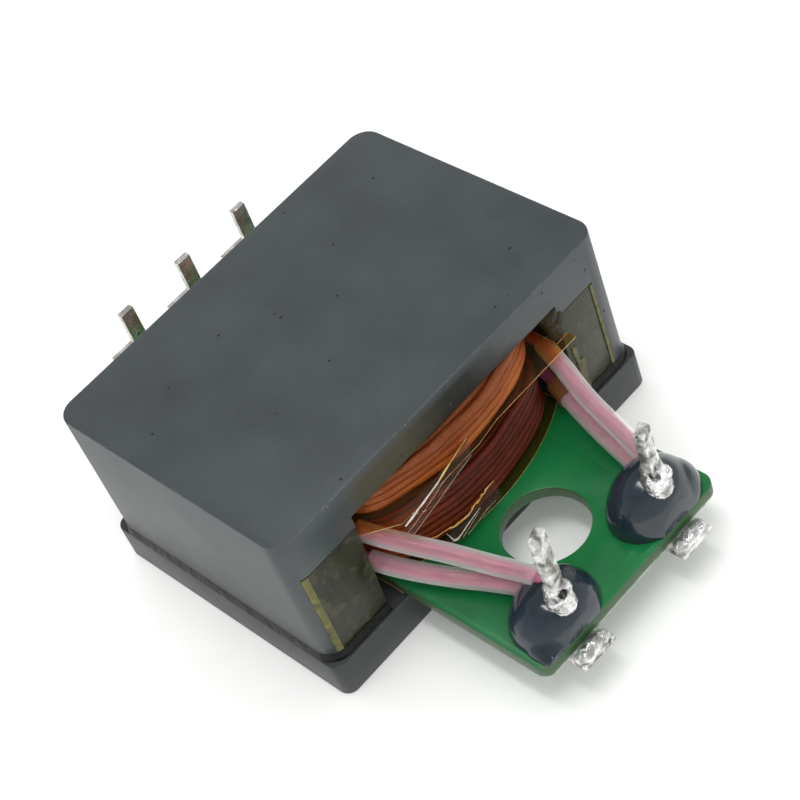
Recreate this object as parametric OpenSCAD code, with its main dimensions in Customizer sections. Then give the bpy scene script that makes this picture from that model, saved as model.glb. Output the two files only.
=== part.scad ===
// Planar power transformer: a glued two-piece ferrite core round two stacked wire
// coils, with a carrier board in front and a winding board behind.
// Millimetres, +Z up. The origin is the centre of the core's underside. The window
// with the carrier board and the leads faces -Y.

/* [Core] */
// Width of the core cap across its two side walls
core_w = 50; // [46:0.5:56]
// Depth of the core cap from window face to window face
core_d = 35.7; // [33:0.1:40]
// Height of the core's top above its underside
core_h = 24.6; // [23.8:0.1:28]
// Radius of the core's upright corners
core_corner_r = 2.4; // [1.5:0.1:3]
// Radius of the base plate's upright corners
base_corner_r = 1.4; // [1:0.1:3]
// Thickness of the flat base plate
base_t = 4.9; // [4:0.1:6]
// How far the base plate stands out at each side
base_flange_x = 0.4; // [0.4:0.05:1]
// How far the base plate stands out at each window face
base_flange_y = 0.7; // [0.4:0.05:1.2]
// Thickness of the cap's roof over the coils
roof_t = 4.25; // [3.5:0.05:4.8]
// Extra thickness of the roof over the leg blocks
shelf_drop = 1.65; // [1:0.05:2.5]
// Thickness of the cap's left side wall
wall_left = 1.2; // [1:0.1:2]
// Thickness of the cap's right side wall
wall_right = 2.8; // [2:0.1:3.5]

/* [Leg blocks] */
// Gap between the left leg block's top and the lead beside it
window_gap_left = 0.05; // [0.05:0.05:0.6]
// Gap between the right leg block's top and the lead beside it
window_gap_right = 0.8; // [0.7:0.05:1.2]
// How much the foot of a leg block is narrower or wider than its top
block_draft = 0.45; // [0:0.05:0.6]
// Dark gap between a leg block and the roof
block_top_gap = 0.15; // [0.05:0.05:0.3]
// How far the blocks' faces lie behind the roof's edge
block_setback = 0.1; // [0:0.05:0.3]
// Thickness of the glue layer beside the left block
glue_left_t = 0.75; // [0.4:0.05:1]
// Thickness of the glue layer beside the right block
glue_right_t = 0.4; // [0.3:0.05:0.8]
// Width of the glue bead that seals the cap to the base
bead_w = 0.36; // [0.2:0.02:0.4]
// Height of that bead on the wall
bead_h = 1.05; // [0.6:0.05:1.4]
// Thickness of the dried run of glue on the right block's face
run_t = 0.12; // [0.08:0.02:0.2]

/* [Centre leg] */
// Width of the centre leg
leg_w = 19.6; // [17:0.1:19.9]
// Depth of the centre leg along its middle
leg_d = 28.6; // [26:0.1:28.8]
// Thickness of the tape wound round the leg
wrap_t = 0.15; // [0.1:0.05:0.2]
// Gap between that tape and the coils
wrap_gap = 0.2; // [0.1:0.05:0.3]

/* [Boards] */
// Thickness of both boards
board_t = 1.6; // [1.2:0.1:1.7]
// Width of both boards
board_w = 28.2; // [27.6:0.1:28.4]
// How far the carrier board stands out in front of the core
tongue_l = 20.7; // [19.5:0.1:24]
// How far the winding board stands out behind the core
tail_l = 8.55; // [7.5:0.05:10]
// How far the boards' hidden ends lie behind the core's faces
board_inset = 1; // [0.6:0.1:1.4]
// Radius of both boards' outer corners
board_corner_r = 1.6; // [0.5:0.1:3]
// Radius of the winding board's hidden corners
winding_corner_r = 6; // [3:0.5:8]
// Diameter of the round hole in the carrier board
hole_d = 10; // [8:0.1:11]
// Distance of the hole's centre from the core's face
hole_from_core = 8.75; // [8:0.05:9.5]
// Gap between the centre leg's tape and each board
leg_clearance = 0.25; // [0.1:0.05:0.4]
// Thickness of the insulating sheet on the base
floor_film_t = 0.4; // [0.2:0.05:0.6]
// Thickness of the insulating pad under the winding board
pad_t = 0.55; // [0.3:0.05:0.8]
// How far that pad's rim lies inside the board's
pad_inset = 0.5; // [0.3:0.1:1]
// Thickness of the amber films
film_t = 0.1; // [0.05:0.01:0.15]
// How far the films stand out in front of the coils
film_margin = 0.85; // [0.5:0.05:1.2]
// How far the middle film stands out at the sides of its board
film_side = 1.1; // [0.6:0.1:1.4]

/* [Coils] */
// Radial build of each coil
coil_build = 4.7; // [4.2:0.1:4.8]
// Radius of the coils' inner corners
coil_inner_r = 2; // [1:0.1:3]
// Strand thickness of the lower coil
lower_strand = 0.94; // [0.8:0.02:1.05]
// Rows of strands in the lower coil
lower_rows = 7; // [5:1:8]
// Columns of strands in the lower coil
lower_columns = 5; // [4:1:6]
// Strand thickness of the upper coil
upper_strand = 1.2; // [1:0.02:1.3]
// Rows of strands in the upper coil
upper_rows = 4; // [3:1:4]
// Columns of strands in the upper coil
upper_columns = 4; // [3:1:5]
// Running gap of the films and coils in their stack
stack_gap = 0.02; // [0.01:0.01:0.05]

/* [Terminals] */
// Width of the terminal strips
pin_w = 1.9; // [1.5:0.1:2.2]
// Thickness of the tinned front pins
front_pin_t = 1.1; // [0.8:0.1:1.3]
// Thickness of the rear pins and of every foot
strip_t = 0.8; // [0.6:0.05:1]
// Width of the feet
foot_w = 4.9; // [4:0.1:5.4]
// Distance between the two front pins
front_pitch = 16; // [14:0.1:17]
// Distance of the front pins from the carrier board's end
front_pin_inset = 2.15; // [1.8:0.05:3]
// How far the front feet stand out past the carrier board
front_foot_out = 2.25; // [1.5:0.05:3]
// Height of the left front pin's tip above the carrier board
left_pin_h = 14.7; // [12:0.1:17]
// Height of the right front pin's tip above the carrier board
right_pin_h = 13.5; // [12:0.1:17]
// Twist of the front pins about their own length, in degrees
pin_twist = 18; // [0:1:30]
// Distance between neighbouring rear pins
rear_pitch = 9.2; // [8:0.1:10.5]
// Height of the rear pins' tips above the winding board
rear_pin_h = 6.5; // [5:0.1:9]
// Distance of the rear pins from the winding board's end
rear_pin_inset = 1.65; // [1.4:0.05:2.2]
// How far the front feet lie to the left of their pins
foot_offset = 0.45; // [0:0.05:0.8]
// How far the rear feet stand out past the winding board
rear_foot_out = 2.9; // [2:0.1:4]
// Gap between a pin and its slot in the board
slot_gap = 0.1; // [0.05:0.01:0.2]

/* [Resin and solder] */
// Half length of each resin dome along the board's end
dome_rx = 5.5; // [4.5:0.1:5.8]
// Half width of each resin dome across the board's end
dome_ry = 4.4; // [4:0.1:4.8]
// Height of the left resin dome
left_dome_h = 4.3; // [3.8:0.1:5]
// Height of the right resin dome
right_dome_h = 5.8; // [5:0.1:6.5]
// Distance of the domes' centres behind their pins
dome_back = 1.7; // [1:0.1:2.2]
// Radius of the solder collar round each front pin
collar_r = 1.85; // [1.4:0.05:2.2]
// Height of that collar above the crown of its dome
collar_h = 1.2; // [0.8:0.1:2]
// Thickness of the solder on the front feet
foot_solder_t = 0.85; // [0.4:0.05:1.1]
// Radius of the solder fillet round each rear pin
rear_fillet_r = 1.6; // [1.2:0.05:2]
// Height of that fillet
rear_fillet_h = 0.9; // [0.5:0.05:1.4]

/* [Leads] */
// Outer diameter of the clear sleeves
sleeve_d = 2.2; // [2:0.05:2.2]
// Wall of the clear sleeves
sleeve_wall = 0.35; // [0.2:0.05:0.4]
// Thickness of the tape on the lower right lead
tape_t = 0.2; // [0.1:0.05:0.25]
// Play of the wires in their sleeves
sleeve_play = 0.05; // [0.03:0.01:0.1]
// Gap between the leads and the winding board or coil that they pass
lead_gap = 0.1; // [0.05:0.05:0.2]

/* [Hidden] */

$fn = 48;
tube_sides = 8;
wedge_reach = 4;
over = 1;

// Levels from the base plate up to the lower coil, then from the roof down to its top
floor_z = base_t + floor_film_t;
carrier_top = floor_z + board_t;
lower_film_z = carrier_top + stack_gap;
lower_coil_z = lower_film_z + film_t + stack_gap;
roof_z = core_h - roof_t;
shelf_z = roof_z - shelf_drop;
roof_film_z = roof_z - 2 * stack_gap - film_t;
upper_pitch = 0.85 * upper_strand;
upper_coil_h = (upper_rows - 1) * upper_pitch + upper_strand;
upper_coil_z = roof_film_z - stack_gap - upper_coil_h;
middle_film_z = upper_coil_z - stack_gap - film_t;
winding_top = middle_film_z - stack_gap;
winding_z = winding_top - board_t;
pad_z = winding_z - pad_t;
lower_coil_h = pad_z - stack_gap - lower_coil_z;
lower_pitch = (lower_coil_h - lower_strand) / (lower_rows - 1);

// Outline of the centre leg: the tape and the coils follow it at their own distance
coil_gap = wrap_t + wrap_gap;
leg_corner_r = coil_inner_r - coil_gap;
coil_half_w = leg_w / 2 + coil_gap + coil_build;
coil_front_y = -leg_d / 2 - coil_gap - coil_build;

// Each bowed end meets its corners where a right triangle of these sides points
bow_run = 5;
bow_rise = 12;
bow_slant = 13;

// Places along X: the leads beside the coils and the winding board fill the window
lead_r = sleeve_d / 2;
wire_r = lead_r - sleeve_wall;
lead_x = max(board_w / 2 + wire_r, coil_half_w) + lead_gap;
left_window_x = -lead_x - wire_r - window_gap_left;
right_window_x = lead_x + wire_r + window_gap_right;
left_glue_x = -core_w / 2 + wall_left;
left_block_x = left_glue_x + glue_left_t;
right_glue_x = core_w / 2 - wall_right;
right_block_x = right_glue_x - glue_right_t;
foot_shift = -foot_offset;

// Places along Y
face_y = -core_d / 2;
block_face_y = face_y + block_setback;
inner_end_y = core_d / 2 - board_inset;
carrier_end_y = face_y - tongue_l;
hole_y = face_y - hole_from_core;
winding_end_y = core_d / 2 + tail_l;
front_pin_y = carrier_end_y + front_pin_inset;
front_foot_z = floor_z - strip_t;
front_foot_y = carrier_end_y - front_foot_out;
rear_pin_y = winding_end_y - rear_pin_inset;
rear_foot_z = winding_z - strip_t;
rear_foot_y = winding_end_y + rear_foot_out;
dome_y = front_pin_y + dome_back;

// Films in front of the coils: the flaps are given from the core's axis and their film
flap_y = coil_front_y - film_margin;
lower_flap_x = [-7.4, 0.4];
lower_flap_h = 3.2;
middle_film_cut = 3.4;
middle_film_ear = [17, 1.3, 0.15];
middle_flap = [[-12, 0.29], [-1.1, 3.09], [1.6, 0.79], [-4.2, -0.91], [-11.5, -1.96]];

// Resin lump, from the window's upper right corner, and the run of glue, from the
// window's edge and the top of the bead
lump_at = [-0.7, 0.8, -1];
lump_size = [1.5, 0.8, 1.6];
drip_at = [-0.9, 0.7, -2.6];
drip_size = [1, 0.65, 1.5];
run_shape = [[0.8, 0], [0.3, 6.75], [0.6, 7.25], [1, 7.25], [1.3, 6.65], [1.8, 0]];

// Leads, by hand: beside the winding board, then before the core, then at their pins.
// X is from their place in the window or from the pin, and Z from the board under them.
left_upper_beside = [[0, 8.35, 0.81], [0, 5.65, 0.66], [-0.55, 2.95, 0.51]];
left_upper_before = [[-1.45, -0.85, 7], [-2.85, 1.75, 5.9], [-4.75, 5.75, 4.8],
                     [-6.35, 10.15, 4.1]];
left_upper_pin = [[0.7, 4.8, 3.6], [0.8, 3.6, 3.6], [0.7, 1.3, 2.9]];
left_lower_before = [[0.15, -3.95, 3.3], [-0.25, -2.35, 3.2], [-1.25, 0.35, 2.7],
                     [-3.65, 5.55, 1.9], [-6.05, 10.15, 1.4]];
left_lower_pin = [[0.4, 5.2, 1.2], [0.6, 4.2, 1.15], [0.6, 1.3, 1.2]];
right_upper_beside = [[0, 8.35, 0.81], [0.15, 5.25, 0.66], [0.15, 2.25, 0.51]];
right_upper_before = [[-0.75, 1.05, 6.8], [-2.15, 5.55, 5.5], [-3.45, 11.35, 4.3]];
right_upper_pin = [[2.5, 3.6, 3.7], [1, 1.2, 3.3]];
right_lower_before = [[0.15, -3.65, 2.1], [-0.35, -1.45, 2.1], [-1.35, 1.55, 2],
                      [-2.85, 6.75, 1.6], [-4.15, 11.75, 1.6]];
right_lower_pin = [[2.2, 4.4, 1.5], [1.2, 1.2, 1.4]];
lead_tape_at = [[-0.35, -1.35, 2.1], [-1.25, 1.25, 2]];

function beside_board(side, points) =
  [for (p = points) [side * (lead_x + p[0]), face_y + p[1], winding_z + p[2]]];
function before_core(side, points) =
  [for (p = points) [side * (lead_x + p[0]), face_y - p[1], carrier_top + p[2]]];
function at_pin(side, points) =
  [for (p = points) [side * front_pitch / 2 + p[0], front_pin_y + p[1], carrier_top + p[2]]];

left_upper = concat(beside_board(-1, left_upper_beside), before_core(-1, left_upper_before),
                    at_pin(-1, left_upper_pin));
left_lower = concat(before_core(-1, left_lower_before), at_pin(-1, left_lower_pin));
right_upper = concat(beside_board(1, right_upper_beside), before_core(1, right_upper_before),
                     at_pin(1, right_upper_pin));
right_lower = concat(before_core(1, right_lower_before), at_pin(1, right_lower_pin));

// Part of a lead that its sleeve covers: all but the bare tail and the bare end
upper_bare_count = 2;
lower_bare_count = 1;
function sleeved(lead, bare) = [for (i = [bare:len(lead) - 2]) lead[i]];
function bare_end(lead) = [for (i = [len(lead) - 3:len(lead) - 1]) lead[i]];

// Rounded rectangle made of true arcs
module rounded_rect(w, d, r) {
  square([w - 2 * r, d], center = true);
  square([w, d - 2 * r], center = true);
  for (x = [-1, 1], y = [-1, 1])
    translate([x * (w / 2 - r), y * (d / 2 - r)]) circle(r);
}

// Bow radius, bow centre and corner centre of a shape with bowed ends
function bow_radius(half_w, corner_r) = corner_r + (half_w - corner_r) * bow_slant / bow_run;
function bow_y(half_w, half_d, corner_r) = half_d - bow_radius(half_w, corner_r);
function corner_y(half_w, half_d, corner_r) =
  bow_y(half_w, half_d, corner_r) + (half_w - corner_r) * bow_rise / bow_run;

// Shape with straight flanks, round corners and bowed ends
module bowed_rect(half_w, half_d, corner_r) {
  cx = half_w - corner_r;
  cy = corner_y(half_w, half_d, corner_r);
  bow_r = bow_radius(half_w, corner_r);
  square([2 * half_w, 2 * cy], center = true);
  for (s = [-1, 1]) scale([1, s]) {
    for (x = [-1, 1]) translate([x * cx, cy]) circle(corner_r);
    translate([0, half_d - bow_r]) intersection() {
      circle(bow_r, $fn = 96);
      polygon([[0, 0], bow_r * [bow_run, bow_rise] / 10, bow_r * [-bow_run, bow_rise] / 10]);
    }
  }
}

// Centre leg's outline, grown outward by a layer
module leg_shape(grow) {
  bowed_rect(leg_w / 2 + grow, leg_d / 2 + grow, leg_corner_r + grow);
}

// A coil's strand bundle in section, with its inner lower corner at the origin
module strand_bundle(strand, rows, pitch, cols) {
  step = (coil_build - strand) / (cols - 1);
  core = 0.3 * strand;
  h = (rows - 1) * pitch + strand;
  for (row = [0:rows - 1], col = [0:cols - 1])
    if (row == 0 || row == rows - 1 || col == 0 || col == cols - 1)
      translate([strand / 2 + col * step, strand / 2 + row * pitch]) circle(strand / 2, $fn = 24);
  translate([core, core])
    square([coil_build - 2 * core, h - 2 * core]);
}

// The bundle swept round the centre leg: bowed ends, corners and straight flanks
module coil_ring(strand, rows, pitch, cols) {
  half_w = leg_w / 2 + coil_gap;
  half_d = leg_d / 2 + coil_gap;
  bow_r = bow_radius(half_w, coil_inner_r);
  by = bow_y(half_w, half_d, coil_inner_r);
  cx = half_w - coil_inner_r;
  cy = corner_y(half_w, half_d, coil_inner_r);
  h = (rows - 1) * pitch + strand + 2 * over;
  ray = wedge_reach * [bow_run, bow_rise];
  side = wedge_reach * bow_slant;
  for (s = [0, 1]) rotate(180 * s) {
    intersection() {
      translate([0, by, 0]) rotate_extrude($fn = 96)
        translate([bow_r, 0]) strand_bundle(strand, rows, pitch, cols);
      translate([0, by, -over]) linear_extrude(h) polygon([[0, 0], ray, [-ray[0], ray[1]]]);
    }
    for (m = [0, 1]) mirror([m, 0, 0]) intersection() {
      translate([cx, cy, 0]) rotate_extrude()
        translate([coil_inner_r, 0]) strand_bundle(strand, rows, pitch, cols);
      translate([cx, cy, -over]) linear_extrude(h)
        polygon([[0, 0], ray, [side, ray[1]], [side, 0]]);
    }
    translate([half_w, cy, 0]) rotate([90, 0, 0])
      linear_extrude(2 * cy) strand_bundle(strand, rows, pitch, cols);
  }
}

// Round tube swept along a route of points
function unit(v) = v / norm(v);
function heading(p, i) =
  unit(i == 0 ? p[1] - p[0] : i == len(p) - 1 ? p[i] - p[i - 1] : p[i + 1] - p[i - 1]);
function ring(p, i, r) =
  let (t = heading(p, i), s = unit(cross(t, [0, 0, 1])), u = cross(t, s))
  [for (k = [0:tube_sides - 1]) let (a = 360 * k / tube_sides)
    p[i] + r * (cos(a) * s + sin(a) * u)];
function wall_faces(first, count, flip) =
  [for (i = [0:count - 2], k = [0:tube_sides - 1], half = [0, 1])
    let (n = (k + 1) % tube_sides, a = first + i * tube_sides, b = a + tube_sides,
         f = half == 0 ? [a + k, b + k, b + n] : [a + k, b + n, a + n])
    flip ? [f[2], f[1], f[0]] : f];

module solid_tube(p, r) {
  last = (len(p) - 1) * tube_sides;
  polyhedron([for (i = [0:len(p) - 1]) each ring(p, i, r)],
    concat(wall_faces(0, len(p), false),
      [[for (k = [0:tube_sides - 1]) k]],
      [[for (k = [tube_sides - 1:-1:0]) last + k]]));
}

module hollow_tube(p, r_out, r_in) {
  n = len(p);
  inner = n * tube_sides;
  last = (n - 1) * tube_sides;
  rims = [for (k = [0:tube_sides - 1], half = [0, 1]) let (m = (k + 1) % tube_sides)
    half == 0 ? [k, m, inner + m] : [k, inner + m, inner + k]];
  polyhedron(concat([for (i = [0:n - 1]) each ring(p, i, r_out)],
                    [for (i = [0:n - 1]) each ring(p, i, r_in)]),
    concat(wall_faces(0, n, false), wall_faces(inner, n, true), rims,
      [for (f = rims) [f[2] + last, f[1] + last, f[0] + last]]));
}

// Core
module core_base() {
  color("#3a4043") linear_extrude(base_t)
    rounded_rect(core_w + 2 * base_flange_x, core_d + 2 * base_flange_y, base_corner_r);
}

module core_cap() {
  color("#565b5f") {
    difference() {
      translate([0, 0, base_t]) linear_extrude(core_h - base_t)
        rounded_rect(core_w, core_d, core_corner_r);
      translate([left_glue_x, face_y - over, base_t - over])
        cube([right_glue_x - left_glue_x, core_d + 2 * over, shelf_z - base_t + over]);
      translate([left_window_x, face_y - over, base_t - over])
        cube([right_window_x - left_window_x, core_d + 2 * over, roof_z - base_t + over]);
    }
    translate([0, 0, floor_z]) linear_extrude(roof_z - floor_z) leg_shape(0);
  }
}

// Leg block between its glued side and its window side, which leans a little
module leg_block(outer_x, top_x, foot_x) {
  intersection() {
    translate([0, core_d / 2 - block_setback, 0]) rotate([90, 0, 0])
      linear_extrude(core_d - 2 * block_setback)
        polygon([[outer_x, base_t], [foot_x, base_t],
                 [top_x, shelf_z - block_top_gap], [outer_x, shelf_z - block_top_gap]]);
    linear_extrude(core_h) rounded_rect(core_w, core_d, core_corner_r);
  }
}

module leg_block_left() {
  color("#55574a") leg_block(left_block_x, left_window_x, left_window_x - block_draft);
}

module leg_block_right() {
  color("#55574a") leg_block(right_block_x, right_window_x, right_window_x - block_draft);
}

// Glue layer between a side wall and its leg block, over the whole depth
module glue_layer(x, t) {
  translate([0, 0, base_t]) linear_extrude(shelf_z - base_t - block_top_gap)
    intersection() {
      translate([x, face_y]) square([t, core_d]);
      rounded_rect(core_w, core_d, core_corner_r);
    }
}

module glue_layer_left() {
  color("#87873c") glue_layer(left_glue_x, glue_left_t);
}

module glue_layer_right() {
  color("#87873c") glue_layer(right_block_x, glue_right_t);
}

// Sealing bead along one side of the cap's foot, turning round both its corners
module seam_bead(window_x) {
  profile = [[0, 0], [bead_w, 0], [0.7 * bead_w, 0.35 * bead_h], [0.25 * bead_w, 0.8 * bead_h],
             [0, bead_h]];
  cx = core_w / 2 - core_corner_r;
  cy = core_d / 2 - core_corner_r;
  translate([0, 0, base_t]) {
    translate([core_w / 2, cy, 0]) rotate([90, 0, 0]) linear_extrude(2 * cy) polygon(profile);
    for (s = [-1, 1]) scale([1, s, 1]) {
      translate([cx, cy]) rotate_extrude(angle = 90)
        translate([core_corner_r, 0]) polygon(profile);
      translate([window_x, core_d / 2, 0]) rotate([90, 0, 90])
        linear_extrude(cx - window_x) polygon(profile);
    }
  }
}

module seam_bead_right() {
  color("#24282a") seam_bead(right_window_x);
}

module seam_bead_left() {
  color("#24282a") rotate(180) seam_bead(-left_window_x + block_draft);
}

// Insulation round the centre leg and in the stack
module floor_film() {
  color("#b08a4a") translate([-board_w / 2, face_y + block_setback, base_t])
    cube([board_w, core_d - 2 * block_setback, floor_film_t]);
}

module leg_tape() {
  color("#c79a3c") translate([0, 0, floor_z]) linear_extrude(roof_film_z - floor_z)
    difference() {
      leg_shape(wrap_t);
      leg_shape(0);
    }
}

module winding_pad() {
  color("#c9a15a") translate([0, 0, pad_z]) linear_extrude(pad_t) difference() {
    rounded_rect(board_w - 2 * pad_inset, 2 * (inner_end_y - pad_inset), winding_corner_r);
    leg_shape(wrap_t + leg_clearance);
  }
}

module roof_film() {
  color("#c98f2e") translate([0, 0, roof_film_z]) linear_extrude(film_t) difference() {
    rounded_rect(board_w, 2 * inner_end_y, board_corner_r);
    leg_shape(wrap_t + leg_clearance);
  }
}

// Film under the lower coil, with a flap standing up in front of it
module lower_film() {
  half_w = leg_w / 2 + coil_gap;
  outer_bow = bow_radius(half_w, coil_inner_r) + coil_build + film_margin;
  color("#c98f2e") translate([0, 0, lower_film_z]) {
    linear_extrude(film_t) difference() {
      intersection() {
        translate([0, outer_bow + flap_y]) circle(outer_bow, $fn = 96);
        translate([-board_w / 2, flap_y - over]) square([board_w, core_d]);
      }
      leg_shape(wrap_t + leg_clearance);
    }
    translate([lower_flap_x[0], flap_y, 0])
      cube([lower_flap_x[1] - lower_flap_x[0], film_t, lower_flap_h]);
    translate([lower_flap_x[0], flap_y, 0])
      cube([lower_flap_x[1] - lower_flap_x[0], 2 * film_margin, film_t]);
  }
}

// Film under the upper coil, with a slanting flap in front of the coils
module middle_film() {
  half_w = board_w / 2 + film_side;
  ear_x = middle_film_ear[0];
  ear_y = face_y - middle_film_ear[1];
  step_y = face_y - middle_film_ear[2];
  color("#d09a35") {
    translate([0, 0, middle_film_z]) linear_extrude(film_t) difference() {
      polygon([[half_w, inner_end_y], [-half_w, inner_end_y], [-half_w, flap_y + middle_film_cut],
               [middle_film_cut - half_w, flap_y], [lower_flap_x[1], flap_y],
               [lower_flap_x[1] + middle_film_cut, ear_y], [ear_x, ear_y], [ear_x, step_y],
               [half_w, step_y]]);
      leg_shape(wrap_t + leg_clearance);
    }
    translate([0, flap_y + film_t, middle_film_z]) rotate([90, 0, 0])
      linear_extrude(film_t) polygon(middle_flap);
  }
}

// Coils
module lower_coil() {
  color("#7a2a1c") translate([0, 0, lower_coil_z])
    coil_ring(lower_strand, lower_rows, lower_pitch, lower_columns);
}

module upper_coil() {
  color("#b5622f") translate([0, 0, upper_coil_z])
    coil_ring(upper_strand, upper_rows, upper_pitch, upper_columns);
}

// Boards
module pin_slot(t) {
  square([pin_w + 2 * slot_gap, t + 2 * slot_gap], center = true);
}

module carrier_board() {
  color("#1f6e40") translate([0, 0, floor_z]) linear_extrude(board_t) difference() {
    translate([0, (carrier_end_y + inner_end_y) / 2])
      rounded_rect(board_w, inner_end_y - carrier_end_y, board_corner_r);
    translate([0, hole_y]) circle(hole_d / 2);
    leg_shape(wrap_t + leg_clearance);
    for (s = [-1, 1])
      translate([s * front_pitch / 2, front_pin_y]) rotate(pin_twist) pin_slot(front_pin_t);
  }
}

module winding_board() {
  front = inner_end_y;
  shoulder = front - winding_corner_r;
  color("#1f6e40") translate([0, 0, winding_z]) linear_extrude(board_t) difference() {
    union() {
      translate([0, (winding_end_y - shoulder) / 2])
        rounded_rect(board_w, winding_end_y + shoulder, board_corner_r);
      translate([0, -front / 2]) rounded_rect(board_w, front, winding_corner_r);
    }
    leg_shape(wrap_t + leg_clearance);
    for (i = [-1:1]) translate([i * rear_pitch, rear_pin_y]) pin_slot(strip_t);
  }
}

// Terminals
module pin_blade(w, t, h) {
  bevel = w / 5;
  rotate([90, 0, 0]) linear_extrude(t, center = true)
    polygon([[-w / 2, 0], [w / 2, 0], [w / 2, h - bevel], [w / 2 - bevel, h],
             [bevel - w / 2, h], [-w / 2, h - bevel]]);
}

module front_pin(side, tip_h) {
  translate([side * front_pitch / 2, front_pin_y, front_foot_z]) rotate(pin_twist)
    pin_blade(pin_w, front_pin_t, carrier_top + tip_h - front_foot_z);
}

module front_terminal(side, tip_h) {
  front_pin(side, tip_h);
  translate([side * front_pitch / 2 + foot_shift - foot_w / 2, front_foot_y, front_foot_z])
    cube([foot_w, front_pin_y - front_foot_y + front_pin_t, strip_t]);
}

module front_terminal_left() {
  color("#b9b9b4") front_terminal(-1, left_pin_h);
}

module front_terminal_right() {
  color("#b9b9b4") front_terminal(1, right_pin_h);
}

module rear_pin(i) {
  translate([i * rear_pitch, rear_pin_y, rear_foot_z])
    pin_blade(pin_w, strip_t, winding_top + rear_pin_h - rear_foot_z);
}

module rear_terminal(i) {
  rear_pin(i);
  translate([i * rear_pitch - foot_w / 2, rear_pin_y - strip_t, rear_foot_z])
    cube([foot_w, rear_foot_y - rear_pin_y + strip_t, strip_t]);
}

module rear_terminal_left() {
  color("#c4c2bb") rear_terminal(-1);
}

module rear_terminal_middle() {
  color("#c4c2bb") rear_terminal(0);
}

module rear_terminal_right() {
  color("#c4c2bb") rear_terminal(1);
}

// Solder fillets round the three rear pins
module rear_solder() {
  color("#a9a9a6") for (i = [-1:1]) difference() {
    translate([i * rear_pitch, rear_pin_y, winding_top]) rotate_extrude()
      polygon([[0, 0], [rear_fillet_r, 0], [rear_fillet_r * 0.8, rear_fillet_h * 0.2],
               [rear_fillet_r * 0.65, rear_fillet_h * 0.6], [rear_fillet_r * 0.6, rear_fillet_h],
               [0, rear_fillet_h]]);
    rear_pin(i);
  }
}

// Resin domes that seal the soldered leads, cut off along the board's end
module dome_blank(side, h) {
  translate([0, 0, carrier_top]) intersection() {
    translate([side * front_pitch / 2, dome_y, 0]) scale([dome_rx, dome_ry, h])
      sphere(1, $fn = 40);
    translate([-board_w / 2, carrier_end_y, 0]) cube([board_w, board_w, 2 * h]);
  }
}

module dome_blank_left() {
  dome_blank(-1, left_dome_h);
}

module dome_blank_right() {
  dome_blank(1, right_dome_h);
}

// Room that a lead takes up in its dome: the sleeve, then the bare wire past its end
module lead_room(lead, bare) {
  solid_tube(sleeved(lead, bare), lead_r);
  solid_tube(bare_end(lead), wire_r);
}

module resin_dome_left() {
  color("#343b45") difference() {
    dome_blank_left();
    front_pin(-1, left_pin_h);
    lead_room(left_upper, upper_bare_count);
    lead_room(left_lower, lower_bare_count);
  }
}

module resin_dome_right() {
  color("#343b45") difference() {
    dome_blank_right();
    front_pin(1, right_pin_h);
    lead_room(right_upper, upper_bare_count);
    lead_room(right_lower, lower_bare_count);
  }
}

// Solder that climbs each front pin from the crown of its dome
module solder_collar(side, crown_h) {
  translate([side * front_pitch / 2, front_pin_y, carrier_top + crown_h / 2])
    rotate_extrude()
      polygon([[0, 0], [collar_r, 0], [collar_r, crown_h * 0.45],
               [collar_r * 0.8, crown_h / 2 + collar_h * 0.25],
               [collar_r * 0.66, crown_h / 2 + collar_h * 0.7],
               [collar_r * 0.62, crown_h / 2 + collar_h], [0, crown_h / 2 + collar_h]]);
}

module solder_collar_left() {
  color("#c9c9c4") difference() {
    solder_collar(-1, left_dome_h);
    dome_blank_left();
    front_pin(-1, left_pin_h);
    solid_tube(sleeved(left_upper, upper_bare_count), lead_r);
  }
}

module solder_collar_right() {
  color("#c9c9c4") difference() {
    solder_collar(1, right_dome_h);
    dome_blank_right();
    front_pin(1, right_pin_h);
    solid_tube(sleeved(right_upper, upper_bare_count), lead_r);
  }
}

// Cushion of solder on the part of a front foot that stands clear of the board
module foot_solder(side) {
  depth = front_foot_out - 2 * slot_gap;
  bow = depth * depth / (8 * foot_solder_t) + foot_solder_t / 2;
  translate([side * front_pitch / 2 + foot_shift, front_foot_y + slot_gap + depth / 2, floor_z])
    intersection() {
      translate([0, 0, foot_solder_t - bow]) rotate([0, 90, 0])
        cylinder(h = foot_w - 2 * slot_gap, r = bow, center = true);
      translate([-foot_w / 2, -depth / 2, 0]) cube([foot_w, depth, foot_solder_t]);
    }
}

module foot_solder_left() {
  color("#c9c9c4") foot_solder(-1);
}

module foot_solder_right() {
  color("#c9c9c4") foot_solder(1);
}

// Leads: clear sleeves over insulated wire
module sleeve(lead, bare) {
  color("#d9cfd2") hollow_tube(sleeved(lead, bare), lead_r, wire_r + sleeve_play);
}

module sleeve_left_upper() {
  sleeve(left_upper, upper_bare_count);
}

module sleeve_left_lower() {
  sleeve(left_lower, lower_bare_count);
}

module sleeve_right_upper() {
  sleeve(right_upper, upper_bare_count);
}

module sleeve_right_lower() {
  sleeve(right_lower, lower_bare_count);
}

module wire(lead) {
  color("#c48fa0") solid_tube(lead, wire_r);
}

module wire_left_upper() {
  wire(left_upper);
}

module wire_left_lower() {
  wire(left_lower);
}

module wire_right_upper() {
  wire(right_upper);
}

module wire_right_lower() {
  wire(right_lower);
}

module lead_tape() {
  color("#8a5a32") hollow_tube(before_core(1, lead_tape_at), lead_r + tape_t,
                               lead_r + sleeve_play);
}

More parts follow.
